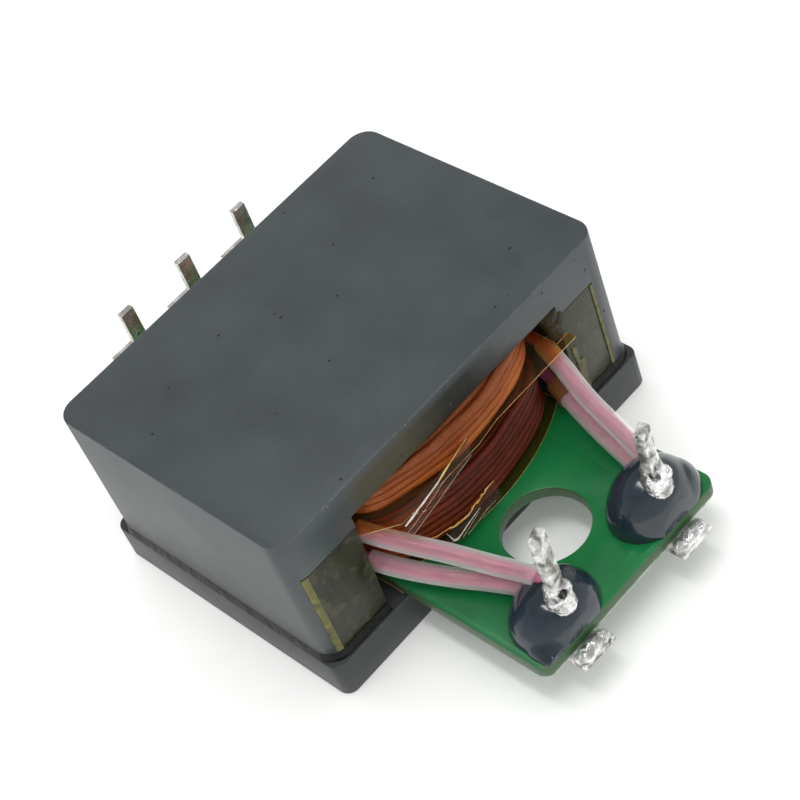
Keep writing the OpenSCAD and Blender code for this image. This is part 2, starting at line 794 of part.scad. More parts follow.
// Lump of dark resin in the window's upper right corner
module resin_lump() {
  color("#3b3526") difference() {
    translate([right_window_x, face_y, roof_z]) {
      translate(lump_at) scale(lump_size) sphere(1, $fn = 20);
      translate(drip_at) scale(drip_size) sphere(1, $fn = 20);
    }
    translate([0, face_y - over, roof_z]) cube(core_w / 2);
    translate([right_window_x, face_y - over, shelf_z]) cube(core_w / 2);
    leg_block_right();
  }
}

// Dried run of glue down the right leg block's face, from the bead's top
module glue_run() {
  color("#87873c") translate([right_window_x, block_face_y, base_t + bead_h])
    rotate([90, 0, 0]) linear_extrude(run_t) polygon(run_shape);
}

core_base();
core_cap();
leg_block_left();
leg_block_right();
glue_layer_left();
glue_layer_right();
seam_bead_left();
seam_bead_right();
floor_film();
leg_tape();
carrier_board();
lower_film();
lower_coil();
winding_pad();
winding_board();
middle_film();
upper_coil();
roof_film();
sleeve_left_upper();
sleeve_left_lower();
sleeve_right_upper();
sleeve_right_lower();
wire_left_upper();
wire_left_lower();
wire_right_upper();
wire_right_lower();
lead_tape();
front_terminal_left();
front_terminal_right();
resin_dome_left();
resin_dome_right();
solder_collar_left();
solder_collar_right();
foot_solder_left();
foot_solder_right();
rear_terminal_left();
rear_terminal_middle();
rear_terminal_right();
rear_solder();
resin_lump();
glue_run();
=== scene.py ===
# Planar power transformer on a white table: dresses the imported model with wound
# strands, films, leads, resin, solder and procedural finishes.
import math
import random

import bpy
from mathutils import Matrix, Vector


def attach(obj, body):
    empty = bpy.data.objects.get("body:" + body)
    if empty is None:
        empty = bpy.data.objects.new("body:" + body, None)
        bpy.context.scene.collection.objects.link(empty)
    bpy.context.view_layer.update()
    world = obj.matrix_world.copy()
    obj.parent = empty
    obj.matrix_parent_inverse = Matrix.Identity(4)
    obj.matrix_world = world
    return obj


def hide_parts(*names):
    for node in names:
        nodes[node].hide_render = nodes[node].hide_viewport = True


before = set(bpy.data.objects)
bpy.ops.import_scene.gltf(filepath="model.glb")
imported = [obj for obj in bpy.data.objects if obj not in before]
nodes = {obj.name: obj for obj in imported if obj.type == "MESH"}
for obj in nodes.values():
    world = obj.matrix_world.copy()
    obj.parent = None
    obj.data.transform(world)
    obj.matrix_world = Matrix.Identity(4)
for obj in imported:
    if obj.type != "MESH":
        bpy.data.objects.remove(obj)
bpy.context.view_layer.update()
mm = 0.001
stageLevel = 0.66  # surface colours are held down to this share for the bright stage
lineSteps = 10  # runs of a smooth line between two of its points
print("stage: frame loaded,", len(nodes), "nodes")


# Small helpers

def pick(piece):
    bpy.ops.object.select_all(action="DESELECT")
    piece.select_set(True)
    bpy.context.view_layer.objects.active = piece


def metres(points):
    return [Vector(p) * mm for p in points]


def tone(code):
    # hex code to linear colour, by the sRGB standard's curve
    parts = [int(code[i:i + 2], 16) / 255 for i in (1, 3, 5)]
    return tuple(part / 12.92 if part <= 0.04045 else ((part + 0.055) / 1.055) ** 2.4
                 for part in parts) + (1.0,)


def paint(code, level=stageLevel):
    return tuple(part * level for part in tone(code)[:3]) + (1.0,)


def modify(piece, kind, **values):
    # one modifier with its values, applied at once
    pick(piece)
    modifier = piece.modifiers.new(kind, kind)
    for key, value in values.items():
        setattr(modifier, key, value)
    bpy.ops.object.modifier_apply(modifier=modifier.name)
    return piece


def combine(piece, other, operation):
    modify(piece, "BOOLEAN", operation=operation, object=other, solver="EXACT")
    bpy.data.objects.remove(other)
    return piece


def camelName(nodeName):
    first, *rest = nodeName.split("_")
    return first + "".join(word.capitalize() for word in rest)


def newObject(name, data):
    added = bpy.data.objects.new(name, data)
    bpy.context.scene.collection.objects.link(added)
    return added


def settle(piece, nodeName, finish, smoothAngle, name=None):
    # the piece gets its place, name, finish and body
    pick(piece)
    bpy.ops.object.transform_apply()
    piece.name = piece.data.name = name or camelName(nodeName)
    bpy.ops.object.shade_smooth_by_angle(angle=math.radians(smoothAngle))
    piece.data.materials.clear()
    piece.data.materials.append(finishes[finish])
    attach(piece, "root")
    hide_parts(nodeName)
    return piece


def joined(pieces):
    pick(pieces[0])
    for piece in pieces:
        piece.select_set(True)
    if len(pieces) > 1:
        bpy.ops.object.join()
    return bpy.context.object


def arcPoints(centre, radius, start, end, count):
    # points along an arc without its end, the angles in degrees
    angles = [math.radians(start + (end - start) * i / count) for i in range(count)]
    return [(centre[0] + radius * math.cos(angle), centre[1] + radius * math.sin(angle))
            for angle in angles]


def startCurve():
    # a curve without splines
    bpy.ops.curve.primitive_nurbs_path_add(location=(0, 0, 0))
    bpy.context.object.data.splines.clear()
    return bpy.context.object


def meshFrom(curve):
    pick(curve)
    bpy.ops.object.convert(target="MESH")
    return bpy.context.object


def layTube(points, radius, sides, closed=False, smoothLine=False, capped=True, radii=()):
    # a round strand along a line of points
    tube = startCurve()
    line = tube.data
    spline = line.splines.new("BEZIER" if smoothLine else "POLY")
    knots = spline.bezier_points if smoothLine else spline.points
    knots.add(len(points) - 1)
    for knot, point in zip(knots, points):
        knot.co = point if smoothLine else (*point, 1)
        if smoothLine:
            knot.handle_left_type = knot.handle_right_type = "AUTO"
    for knot, share in zip(knots, radii):
        knot.radius = share
    if smoothLine:
        spline.resolution_u = lineSteps
    spline.use_cyclic_u = closed
    line.twist_mode = "Z_UP" if closed else "MINIMUM"
    line.bevel_depth = radius
    line.bevel_resolution = sides
    line.use_fill_caps = capped and not closed
    return meshFrom(tube)


# Node helpers

desk = {}  # what is being built: a node tree and its owner


def place(kind, inputs, **settings):
    # a node with its settings, and each input given a value or linked to a socket
    tree = desk["tree"]
    node = tree.nodes.new("ShaderNode" + kind)
    for key, value in settings.items():
        setattr(node, key, value)
    for key, value in inputs.items():
        if isinstance(value, bpy.types.NodeSocket):
            tree.links.new(value, node.inputs[key])
        else:
            node.inputs[key].default_value = value
    return node.outputs


def calc(operation, first, second=0.0):
    return place("Math", {0: first, 1: second}, operation=operation)[0]


def times(first, second):
    return calc("MULTIPLY", first, second)


def plus(first, second):
    return calc("ADD", first, second)


def minus(first, second):
    return calc("SUBTRACT", first, second)


def greater(first, second):
    return calc("MAXIMUM", first, second)


def calcVector(operation, first, second=(0, 0, 0)):
    return place("VectorMath", {0: first, 1: second}, operation=operation)


def remap(value, low, high, toLow=0.0, toHigh=1.0):
    return place("MapRange", {"Value": value, "From Min": low, "From Max": high,
                 "To Min": toLow, "To Max": toHigh}, clamp=True)["Result"]


def fade(axis, start, end, toLow=0.0, toHigh=1.0):
    # the same along an axis of the object, in millimetres
    return remap(axis, start * mm, end * mm, toLow, toHigh)


def axes(vector):
    return place("SeparateXYZ", {0: vector})


def facingAxes():
    return axes(place("NewGeometry", {})["Normal"])


def blend(share, first, second):
    return place("Mix", {0: share, 6: first, 7: second}, data_type="RGBA")[2]


def stain(colour, mask, code, share=None, level=stageLevel):
    # another tone over the colour where the mask is
    mask = mask if share is None else times(mask, share)
    return blend(mask, colour, paint(code, level))


def openTree(owner):
    owner.use_nodes = True
    owner.node_tree.nodes.clear()
    desk["owner"], desk["tree"] = owner, owner.node_tree


def openMaterial(name):
    openTree(bpy.data.materials.new(name))
    return place("TexCoord", {})["Object"]


def closeMaterial(surface):
    place("OutputMaterial", {"Surface": surface})
    return desk["owner"]


def alongPiece():
    return place("TexCoord", {})["UV"]


surfaceInputs = {"ior": "IOR", "metal": "Metallic", "shine": "Specular IOR Level",
                 "clear": "Transmission Weight", "lacquer": "Coat Weight",
                 "lacquerRough": "Coat Roughness"}


def coat(colour, rough, height, strength, depth, **more):
    # the surface itself, with a bump whose depth is in millimetres
    bump = place("Bump", {"Height": height, "Strength": strength, "Distance": depth * mm})
    values = {"Base Color": colour, "Roughness": rough, "Normal": bump["Normal"]}
    for key, value in more.items():
        values[surfaceInputs[key]] = value
    return place("BsdfPrincipled", values)[0]


# Effects that several finishes share

def openGroup(name, inputs):
    # each effect takes named inputs and puts out one mask
    group = desk["tree"] = bpy.data.node_groups.new(name, "ShaderNodeTree")
    for label, value in inputs.items():
        kind = "NodeSocketFloat" if isinstance(value, float) else "NodeSocketVector"
        socket = group.interface.new_socket(name=label, in_out="INPUT", socket_type=kind)
        socket.default_value = value
    group.interface.new_socket(name="Mask", in_out="OUTPUT", socket_type="NodeSocketFloat")
    return group.nodes.new("NodeGroupInput").outputs[:len(inputs)]


def closeGroup(mask):
    group = desk["tree"]
    group.links.new(mask, group.nodes.new("NodeGroupOutput").inputs["Mask"])
    return group


def makeMottle():
    vector, scale, detail, low, high = openGroup("mottle", {
        "Vector": (0, 0, 0), "Scale": 500.0, "Detail": 4.0, "Low": 0.35, "High": 0.65})
    cloud = place("TexNoise", {"Vector": vector, "Scale": scale, "Detail": detail,
                  "Roughness": 0.6})["Fac"]
    return closeGroup(remap(cloud, low, high))


def makeSpecks():
    vector, scale, amount, size = openGroup("specks", {
        "Vector": (0, 0, 0), "Scale": 900.0, "Amount": 0.1, "Size": 0.25})
    cells = place("TexVoronoi", {"Vector": vector, "Scale": scale})
    dot = calc("LESS_THAN", cells["Distance"], size)
    lot = place("SeparateColor", {"Color": cells["Color"]})["Red"]
    return closeGroup(times(dot, calc("LESS_THAN", lot, amount)))


def makeStreaks():
    vector, stretch, low, high = openGroup("streaks", {
        "Vector": (0, 0, 0), "Stretch": (1, 1, 1), "Low": 0.35, "High": 0.65})
    pulled = calcVector("MULTIPLY", vector, stretch)[0]
    cloud = place("TexNoise", {"Vector": pulled, "Scale": 1.0, "Detail": 5.0,
                  "Roughness": 0.62})["Fac"]
    return closeGroup(remap(cloud, low, high))


def makeEdgeWear():
    # high along the edges of a box given by its centre and half size
    vector, centre, half, width = openGroup("edgeWear", {
        "Vector": (0, 0, 0), "Centre": (0, 0, 0), "Half": (1, 1, 1), "Width": 0.0003})
    size = calcVector("ABSOLUTE", calcVector("SUBTRACT", vector, centre)[0])[0]
    depth = axes(calcVector("SUBTRACT", half, size)[0])
    near = [remap(part, width, 0.0) for part in depth]
    pairs = [times(near[a], near[b]) for a, b in ((0, 1), (1, 2), (0, 2))]
    widest = greater(greater(pairs[0], pairs[1]), pairs[2])
    ragged = place("TexNoise", {"Vector": vector, "Scale": 1400.0, "Detail": 3.0})["Fac"]
    return closeGroup(remap(times(widest, ragged), 0.22, 0.5))


mottle, specks, streaks, edgeWear = makeMottle(), makeSpecks(), makeStreaks(), makeEdgeWear()


def useEffect(effect, inputs):
    return place("Group", inputs, node_tree=effect)["Mask"]


def clouds(at, scale, detail, low=0.3, high=0.7):
    return useEffect(mottle, {"Vector": at, "Scale": scale, "Detail": detail, "Low": low,
                              "High": high})


def dots(at, scale, amount, size):
    return useEffect(specks, {"Vector": at, "Scale": scale, "Amount": amount, "Size": size})


def lines(at, stretch, low=0.3, high=0.7):
    return useEffect(streaks, {"Vector": at, "Stretch": stretch, "Low": low, "High": high})


# Finishes

def ferriteFinish(name, base, light, centre, half, varnishAndPaintedLight=None):
    # centre and half are those of its box, whose edges are worn, in millimetres
    at = openMaterial(name)
    cloud = clouds(at, scale=90, detail=6)
    fine = clouds(at, scale=5200, detail=3)
    pits = dots(at, scale=1100, amount=0.02, size=0.2)
    small = dots(at, scale=2600, amount=0.05, size=0.25)
    worn = useEffect(edgeWear, {"Vector": at, "Centre": Vector(centre) * mm,
                     "Half": Vector(half) * mm, "Width": 0.35 * mm})
    grind = lines(at, (900, 9000, 900))
    colour = blend(cloud, paint(base), paint(light))
    colour = stain(colour, fine, "#2e3234", 0.25)
    colour = stain(colour, greater(pits, times(small, 0.6)), "#1a1c1d")
    colour = stain(colour, worn, "#73797a", 0.35)
    facing = facingAxes()
    lapped = remap(calc("ABSOLUTE", facing["Y"]), 0.9, 0.98, 1.0, 0.8)
    rough = times(remap(cloud, 0, 1, 0.37, 0.48), lapped)
    if varnishAndPaintedLight:
        spot = axes(at)
        # side faces carry painted reflection, paler towards the top, and painted shade, darker
        # towards the base
        flank = remap(calc("ABSOLUTE", facing["X"]), 0.9, 0.98)
        paintedReflection = times(flank, fade(spot["Z"], 11, 24, 0.0, 0.3))
        paintedShade = times(flank, fade(spot["Z"], 14, 6, 0.0, 0.5))
        colour = stain(stain(colour, paintedReflection, "#6b7173"), paintedShade, "#2b2f32")
        # thin varnish over the window's front edge, thickest next to the coils
        # over the window's front edge, painted reflection of the board and coils, olive towards
        # the left and dark painted shade towards the right, strongest next to the coils, where the
        # surface is also rougher
        front = remap(facing["Y"], -0.8, -0.95)
        low = times(fade(spot["Z"], *varnishAndPaintedLight["height"]), fade(spot["X"], *varnishAndPaintedLight["leftEnd"]))
        runs = remap(lines(at, (700, 500, 160), 0.1, 0.5), 0, 1, 0.6, 1.0)
        mask = times(times(front, low), times(fade(spot["X"], *varnishAndPaintedLight["rightEnd"]), runs))
        warm = fade(spot["X"], *varnishAndPaintedLight["warmer"])
        colour = blend(mask, colour, blend(warm, paint("#1d1e18"), paint("#4d4936")))
        rough = plus(rough, times(mask, 0.4))
        rim = times(front, fade(spot["Z"], 20, 22))
        chips = dots(at, scale=1300, amount=0.1, size=0.2)
        dust = dots(at, scale=1700, amount=0.06, size=0.16)
        colour = stain(colour, times(chips, rim), "#17191a")
        colour = stain(colour, times(dust, rim), "#8d918d")
    rough = plus(rough, times(pits, 0.3))
    height = minus(times(plus(fine, grind), 0.12), greater(pits, times(small, 0.4)))
    return closeMaterial(coat(colour, rough, height, strength=0.3, depth=0.05, ior=1.55))


def varnishFinish(name):
    at = openMaterial(name)
    runs = lines(at, (900, 900, 160), 0.35, 0.68)
    cloud = clouds(at, scale=260, detail=5, low=0.35, high=0.65)
    smears = clouds(at, scale=430, detail=2, low=0.56, high=0.66)
    rims = clouds(at, scale=700, detail=1, low=0.6, high=0.68)
    grains = dots(at, scale=1100, amount=0.06, size=0.2)
    colour = blend(cloud, paint("#1d2018"), paint("#323528"))
    colour = stain(colour, runs, "#45432a", 0.5)
    colour = stain(colour, smears, "#6c6c48", 0.3)
    colour = stain(colour, rims, "#85866a", 0.15)
    colour = stain(colour, grains, "#1b1c14")
    spot = axes(at)
    # the right block is paler, and both end in a painted shadow line under the roof's overhang
    colour = stain(colour, fade(spot["X"], 10, 14, 0.0, 0.35), "#575b4b")
    roofShadow = times(fade(spot["Z"], 20.0, 20.1), remap(cloud, 0.1, 0.3, 0.6, 1.0))
    colour = stain(colour, roofShadow, "#050505")
    height = plus(times(runs, 0.5), plus(cloud, smears))
    return closeMaterial(coat(colour, remap(cloud, 0, 1, 0.22, 0.42), height, strength=0.4,
                              depth=0.14, lacquer=0.12, lacquerRough=0.12, shine=0.3))


def glueFinish(name, dark, light, rough=0.45, shine=0.5, relief=0.5):
    at = openMaterial(name)
    lumps = clouds(at, scale=900, detail=4)
    bubbles = dots(at, scale=1500, amount=0.12, size=0.3)
    colour = blend(lumps, paint(dark), paint(light))
    height = minus(lumps, times(bubbles, 0.5))
    return closeMaterial(coat(colour, rough, height, relief, depth=0.1, shine=shine))


def boardFinish(name, wrapEnd=None):
    # where the coils cover the board, up to wrapEnd in y, tape hides the green
    at = openMaterial(name)
    spot = axes(at)
    flat = remap(calc("ABSOLUTE", facingAxes()["Z"]), 0.6, 0.9)
    cloud = clouds(at, scale=120, detail=5)
    dust = dots(at, scale=700, amount=0.02, size=0.12)
    face = blend(cloud, paint("#0c7038"), paint("#1a874a"))
    face = stain(face, dust, "#9fc4a6", 0.5)
    # cut edges show the glass cloth in thin layers
    cloth = place("TexWave", {"Vector": at, "Scale": 900.0, "Distortion": 2.5,
                  "Detail": 3.0, "Detail Scale": 3.0}, bands_direction="Z")["Fac"]
    fibres = lines(at, (700, 700, 6000))
    side = blend(times(cloth, fibres), paint("#25552f"), paint("#577f4c"))
    colour = blend(flat, side, face)
    # the front's bottom edge is broken and light
    ragged = clouds(at, scale=900, detail=3, low=0.3, high=0.5)
    lowRim = times(fade(spot["Y"], -38.4, -38.5), fade(spot["Z"], 5.6, 5.5))
    colour = stain(colour, times(lowRim, ragged), "#d9dfcf")
    if wrapEnd is not None:
        wrap = blend(fibres, paint("#2b180c"), paint("#5a3518"))
        colour = blend(fade(spot["Y"], wrapEnd + 0.5, wrapEnd), colour, wrap)
    height = plus(times(cloud, 0.4), times(minus(1.0, flat), cloth))
    return closeMaterial(coat(colour, remap(flat, 0, 1, 0.55, 0.26), height, strength=0.25,
                              depth=0.06, lacquer=0.3, lacquerRough=0.12))


def strandFinish(name, dark, light, rim, paintedLightAlongX, paintedShadeAlongZ):
    # the tones along x and z are painted light and shade: along x, shade over the upper coil's
    # left and light through the amber film over the lower coil's left; along z, shade towards each
    # coil's top under the roof or the coil above, on the upper coil partly the enamel's own darker
    # red. Each is a tone, the places where it starts and ends, and its strength
    at = openMaterial(name)
    wires = lines(alongPiece(), (14, 26, 1))
    cloud = clouds(at, scale=420, detail=4)
    dust = dots(at, scale=900, amount=0.04, size=0.12)
    own = place("Attribute", {}, attribute_name="strandTone")["Fac"]
    mixed = plus(times(wires, 0.5), times(own, 0.5))
    colour = blend(mixed, paint(dark), paint(light))
    colour = stain(colour, cloud, rim, 0.4)
    spot = axes(at)
    # painted shade towards the top of the bundle
    tint, start, end, strength = paintedShadeAlongZ
    colour = stain(colour, fade(spot["Z"], start, end, 0.0, strength), tint)
    # painted light and shade along x
    tint, start, end, strength = paintedLightAlongX
    paintedLightMask = times(fade(spot["X"], start, end, 0.0, strength), remap(mixed, 0.1, 0.7, 0.5, 1.0))
    colour = stain(stain(colour, paintedLightMask, tint), dust, "#c9a58a", 0.6)
    return closeMaterial(coat(colour, remap(cloud, 0, 1, 0.28, 0.45), wires, strength=0.6,
                              depth=0.08, metal=0.45, lacquer=0.15, lacquerRough=0.2))


def clearFinish(name, tint, shadeTint, rough=0.1, body=0.03, rim=0.16, falloff=2.0, lacquer=0.0,
                relief=0.02, clear=0.4):
    # clear sheet: light passes on tinted, and more of its own face shows towards its outline
    at = openMaterial(name)
    creases = lines(at, (240, 500, 700))
    face = coat(blend(creases, tone(tint), tone(shadeTint)), rough, creases, relief, depth=0.12,
                ior=1.45, clear=clear, lacquer=lacquer)
    outline = place("LayerWeight", {"Blend": 0.5})["Facing"]
    share = plus(times(calc("POWER", outline, falloff), rim), body)
    behind = place("NewGeometry", {})["Backfacing"]
    share = times(share, minus(1.0, behind))
    shadow = place("LightPath", {})["Is Shadow Ray"]
    through = place("BsdfTransparent", {"Color": tone(tint)})[0]
    passed = greater(shadow, minus(1.0, share))
    return closeMaterial(place("MixShader", {0: passed, 1: face, 2: through})[0])


def wireFinish(name):
    at = openMaterial(name)
    twist = lines(alongPiece(), (10, 12, 1))
    colour = blend(twist, paint("#96385c"), paint("#c16585"))
    colour = stain(colour, clouds(at, scale=600, detail=3), "#dc90a8", 0.3)
    return closeMaterial(coat(colour, 0.35, twist, strength=0.4, depth=0.08, lacquer=0.3))


def tinFinish(name, dark, light, rough, lumps, metal, hollows=()):
    # hollows are the solder's cavities, darkened with painted shade: a centre and a radius in
    # millimetres
    at = openMaterial(name)
    blobs = clouds(at, scale=lumps, detail=5, low=0.36, high=0.6)
    fine = clouds(at, scale=3200, detail=4)
    scars = dots(at, scale=1300, amount=0.12, size=0.3)
    colour = blend(blobs, tone(dark), tone(light))
    colour = stain(colour, scars, "#4b4843", 0.7, level=1.0)
    for centre, radius in hollows:
        away = calcVector("DISTANCE", at, Vector(centre) * mm)["Value"]
        away = plus(away, times(fine, 0.3 * mm))
        # painted shade inside the hollow
        hollowShade = fade(away, radius + 0.4, radius + 0.1, 0.0, 0.92)
        colour = stain(colour, hollowShade, "#14130f", level=1.0)
    gloss = plus(remap(blobs, 0, 1, rough + 0.18, rough), times(scars, 0.2))
    height = minus(plus(blobs, times(fine, 0.3)), times(scars, 0.6))
    return closeMaterial(coat(colour, gloss, height, strength=0.7, depth=0.12, metal=metal))


def resinFinish(name, dark, light, rough=0.12, lacquer=0.4, shine=0.5):
    at = openMaterial(name)
    cloud = clouds(at, scale=220, detail=3)
    swell = clouds(at, scale=350, detail=1, low=0.2, high=0.8)
    grit = dots(at, scale=600, amount=0.02, size=0.12)
    gloss = plus(remap(cloud, 0, 1, rough, rough + 0.08), times(grit, 0.4))
    colour = blend(cloud, paint(dark), paint(light))
    height = plus(swell, times(grit, 0.2))
    return closeMaterial(coat(colour, gloss, height, strength=0.2, depth=0.15, lacquer=lacquer,
                              lacquerRough=0.06, shine=shine))


def clothFinish(name, dark, light):
    at = openMaterial(name)
    weft, warp = [place("TexWave", {"Vector": at, "Scale": 900.0}, bands_direction=axis)["Fac"] for
                  axis in ("X", "Y")]
    colour = blend(clouds(at, scale=300, detail=4), paint(dark), paint(light))
    return closeMaterial(coat(colour, 0.6, times(weft, warp), strength=0.3, depth=0.05))


finishes = {
    # the cap's last argument sets painted reflection and shade on its window front
    "cap": ferriteFinish("capFerrite", "#3c4346", "#4c5457", (0, 0, 14.75), (25, 17.85, 9.85),
                         varnishAndPaintedLight={"height": (24.6, 23.2), "leftEnd": (-16.5, -13.5),
                                  "rightEnd": (9, 3), "warmer": (0, -7)}),
    "base": ferriteFinish("baseFerrite", "#2b3032", "#35393b", (0, 0, 2.45), (25.4, 18.55, 2.45)),
    # the legs' varnish also carries a painted shadow line under the roof
    "varnishAndPaintedLight": varnishFinish("legVarnish"),
    "khaki": glueFinish("khakiGlue", "#45441c", "#86843f"),
    "driedRun": glueFinish("driedRun", "#4d4a2a", "#7c7848"),
    "seal": glueFinish("sealingGlue", "#020303", "#0f1214", rough=0.34, shine=0.25, relief=1.0),
    "brownResin": resinFinish("brownResin", "#141108", "#322b14", rough=0.4,
                              lacquer=0.08, shine=0.15),
    "board": boardFinish("greenBoard"),
    "tailBoard": boardFinish("tailBoard", wrapEnd=15),
    # the coils' tones along x and z are painted light and shade
    "upperStrands": strandFinish("orangeStrands", "#9a3c14", "#ff9c46", "#c05622",
                                 paintedLightAlongX=("#6e2a10", 6, -10, 0.4),
                                 paintedShadeAlongZ=("#5c1408", 18.2, 19.9, 0.58)),
    "lowerStrands": strandFinish("redStrands", "#4e1407", "#a64220", "#641d0c",
                                 paintedLightAlongX=("#b8501c", -4, -10, 0.75),
                                 paintedShadeAlongZ=("#3c0c06", 10.8, 13.2, 0.42)),
    "film": clearFinish("amberFilm", "#f4dcae", "#d9b070"),
    "deepFilm": clearFinish("deepAmberFilm", "#ecc685", "#c79240"),
    "filmCurl": clearFinish("curledFilm", "#f1e6cf", "#e6dac0", body=0.04, rim=0.14),
    "filmFold": clearFinish("foldedFilm", "#dcd0bc", "#f4ead8", rough=0.15, body=0.4, rim=0.5),
    # bright golden painted highlight on the films' cut and torn edges and along the middle curl's
    # crest
    "filmEdge": glueFinish("goldenFilmGlint", "#e0a02c", "#ffe49a", rough=0.2),
    # white painted highlights along the curls' crests
    "filmGleam": glueFinish("filmGleam", "#e9ddd0", "#ffffff", rough=0.15),
    "sleeve": clearFinish("clearSleeve", "#fdf6f7", "#f5ecee", rough=0.35, body=0.1, rim=0.62,
                          falloff=1.0, lacquer=0.15, relief=0.01, clear=0.05),
    "wire": wireFinish("pinkWire"),
    "tape": clothFinish("brownTape", "#7d5230", "#96673f"),
    "pad": clothFinish("pressedPad", "#a98650", "#c9a66b"),
    "roughTin": tinFinish("roughTin", "#76746e", "#f2f1ee", rough=0.3, lumps=800, metal=0.75),
    "plainTin": tinFinish("plainTin", "#b4b1a9", "#f0eeea", rough=0.15, lumps=420, metal=0.8),
    # the collars' cavities are darkened with painted shade
    "solder": tinFinish("brightSolder", "#9c9c99", "#ffffff", rough=0.14, lumps=620, metal=0.85,
                        hollows=[((-8.2, -37.5, 12.5), 0.5), ((-9.3, -37.3, 12.7), 0.2),
                                 ((7.0, -37.3, 14.5), 0.45), ((7.4, -37.6, 13.9), 0.3)]),
    "epoxy": resinFinish("blackEpoxy", "#1f2a33", "#303c47"),
}
print("stage: finishes made,", len(finishes))


# Core, boards and glue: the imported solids, some with their edges broken

edgeSettings = {"mergeWithin": 2e-6, "flatWithin": math.radians(0.5), "segments": 2,
                "sharpFrom": math.radians(40)}
refined = {  # finish, slot and the broken edge's width in millimetres
    "core_cap": ("cap", "ferrite", 0.12),
    "core_base": ("base", "ferrite", 0.18),
    "leg_block_left": ("varnishAndPaintedLight", "leg_ferrite", 0.08),
    "leg_block_right": ("varnishAndPaintedLight", "leg_ferrite", 0.08),
    "carrier_board": ("board", "board", 0.06),
    "winding_board": ("tailBoard", "board", 0.06),
}
plain = {
    "glue_layer_left": "khaki", "glue_layer_right": "khaki", "seam_bead_left": "seal",
    "seam_bead_right": "seal", "leg_tape": "film", "roof_film": "film", "floor_film": "pad",
    "winding_pad": "pad", "rear_solder": "solder",
}


def copyNode(nodeName):
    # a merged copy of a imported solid, to be refined
    copy = newObject(nodeName + "Copy", nodes[nodeName].data.copy())
    pick(copy)
    bpy.ops.object.mode_set(mode="EDIT")
    bpy.ops.mesh.select_all(action="SELECT")
    bpy.ops.mesh.customdata_custom_splitnormals_clear()
    bpy.ops.mesh.remove_doubles(threshold=edgeSettings["mergeWithin"])
    bpy.ops.mesh.dissolve_limited(angle_limit=edgeSettings["flatWithin"])
    bpy.ops.object.mode_set(mode="OBJECT")
    return copy


for nodeName, (finish, slotName, width) in refined.items():
    piece = modify(copyNode(nodeName), "BEVEL", width=width * mm,
                   segments=edgeSettings["segments"], limit_method="ANGLE",
                   angle_limit=edgeSettings["sharpFrom"])
    settle(piece, nodeName, finish, smoothAngle=35)
for nodeName, finish in plain.items():
    nodes[nodeName].data.materials.clear()
    nodes[nodeName].data.materials.append(finishes[finish])
print("stage: core and boards dressed")


# Coils: strands wound round the leg, each with its own wander and tone

coilShape = {"bowRadius": 23.19, "bowCentre": 8.54, "cornerRadius": 2.0, "cornerX": 8.15,
             "cornerY": 11.02, "bowHalfAngle": math.degrees(math.atan(5 / 12)),
             "frontSteps": 34, "backSteps": 26, "cornerSteps": 10, "sideSteps": 8,
             "wavesPerTurn": (2, 5, 3, 4), "phaseUpTo": 6.283, "calmest": 0.4,
             "thinnest": 1.03, "thickest": 1.11}
coils = {
    "upper_coil": {"finish": "upperStrands", "slot": "coil_upper", "strand": 1.2, "rows": 4,
                   "pitch": 1.02, "columns": 4, "bottom": 15.93, "build": 4.7, "wander": 0.15,
                   "sides": 4, "seed": 11},
    "lower_coil": {"finish": "lowerStrands", "slot": "coil_lower", "strand": 0.94, "rows": 7,
                   "pitch": 0.94, "columns": 5, "bottom": 7.04, "build": 4.7, "wander": 0.12,
                   "sides": 3, "seed": 23},
}


def turnOutline(offset):
    # one turn round the leg at a distance from the coil's inner face, in millimetres
    s, half = coilShape, coilShape["bowHalfAngle"]
    bow, corner = s["bowRadius"] + offset, s["cornerRadius"] + offset
    x, y, by = s["cornerX"], s["cornerY"], s["bowCentre"]
    bend, side = s["cornerSteps"], s["sideSteps"]
    points = arcPoints((0, by), bow, -90 - half, -90 + half, s["frontSteps"])
    points += arcPoints((x, -y), corner, -90 + half, 0, bend)
    points += [(x + corner, -y + 2 * y * i / side) for i in range(side)]
    points += arcPoints((x, y), corner, 0, 90 - half, bend)
    points += arcPoints((0, -by), bow, 90 - half, 90 + half, s["backSteps"])
    points += arcPoints((-x, y), corner, 90 + half, 180, bend)
    points += [(-x - corner, y - 2 * y * i / side) for i in range(side)]
    points += arcPoints((-x, -y), corner, 180, 270 - half, bend)
    return points


def strandLine(s, row, column, phase, swing):
    # outer strands wander out of line, but never out of the coil's build
    lastRow, lastColumn = s["rows"] - 1, s["columns"] - 1
    radius = s["strand"] / 2
    step = (s["build"] - s["strand"]) / lastColumn
    height = s["bottom"] + radius + row * s["pitch"]
    outline = turnOutline(radius + column * step)
    points = []
    for i, (x, y) in enumerate(outline):
        turn = 2 * math.pi * i / len(outline)
        waves = [size * math.sin(count * turn + start)
                 for count, size, start in zip(coilShape["wavesPerTurn"], swing, phase)]
        out, lift = waves[0] + waves[1], waves[2] + waves[3]
        if 0 < row < lastRow and 0 < column < lastColumn:
            out = lift = 0
        if column == lastColumn:
            out = -abs(out)
        if row in (0, lastRow):
            lift = abs(lift) if row == 0 else -abs(lift)
        ahead = Vector((x, y)).normalized() * out
        points.append(Vector((x + ahead.x, y + ahead.y, height + lift)) * mm)
    return points


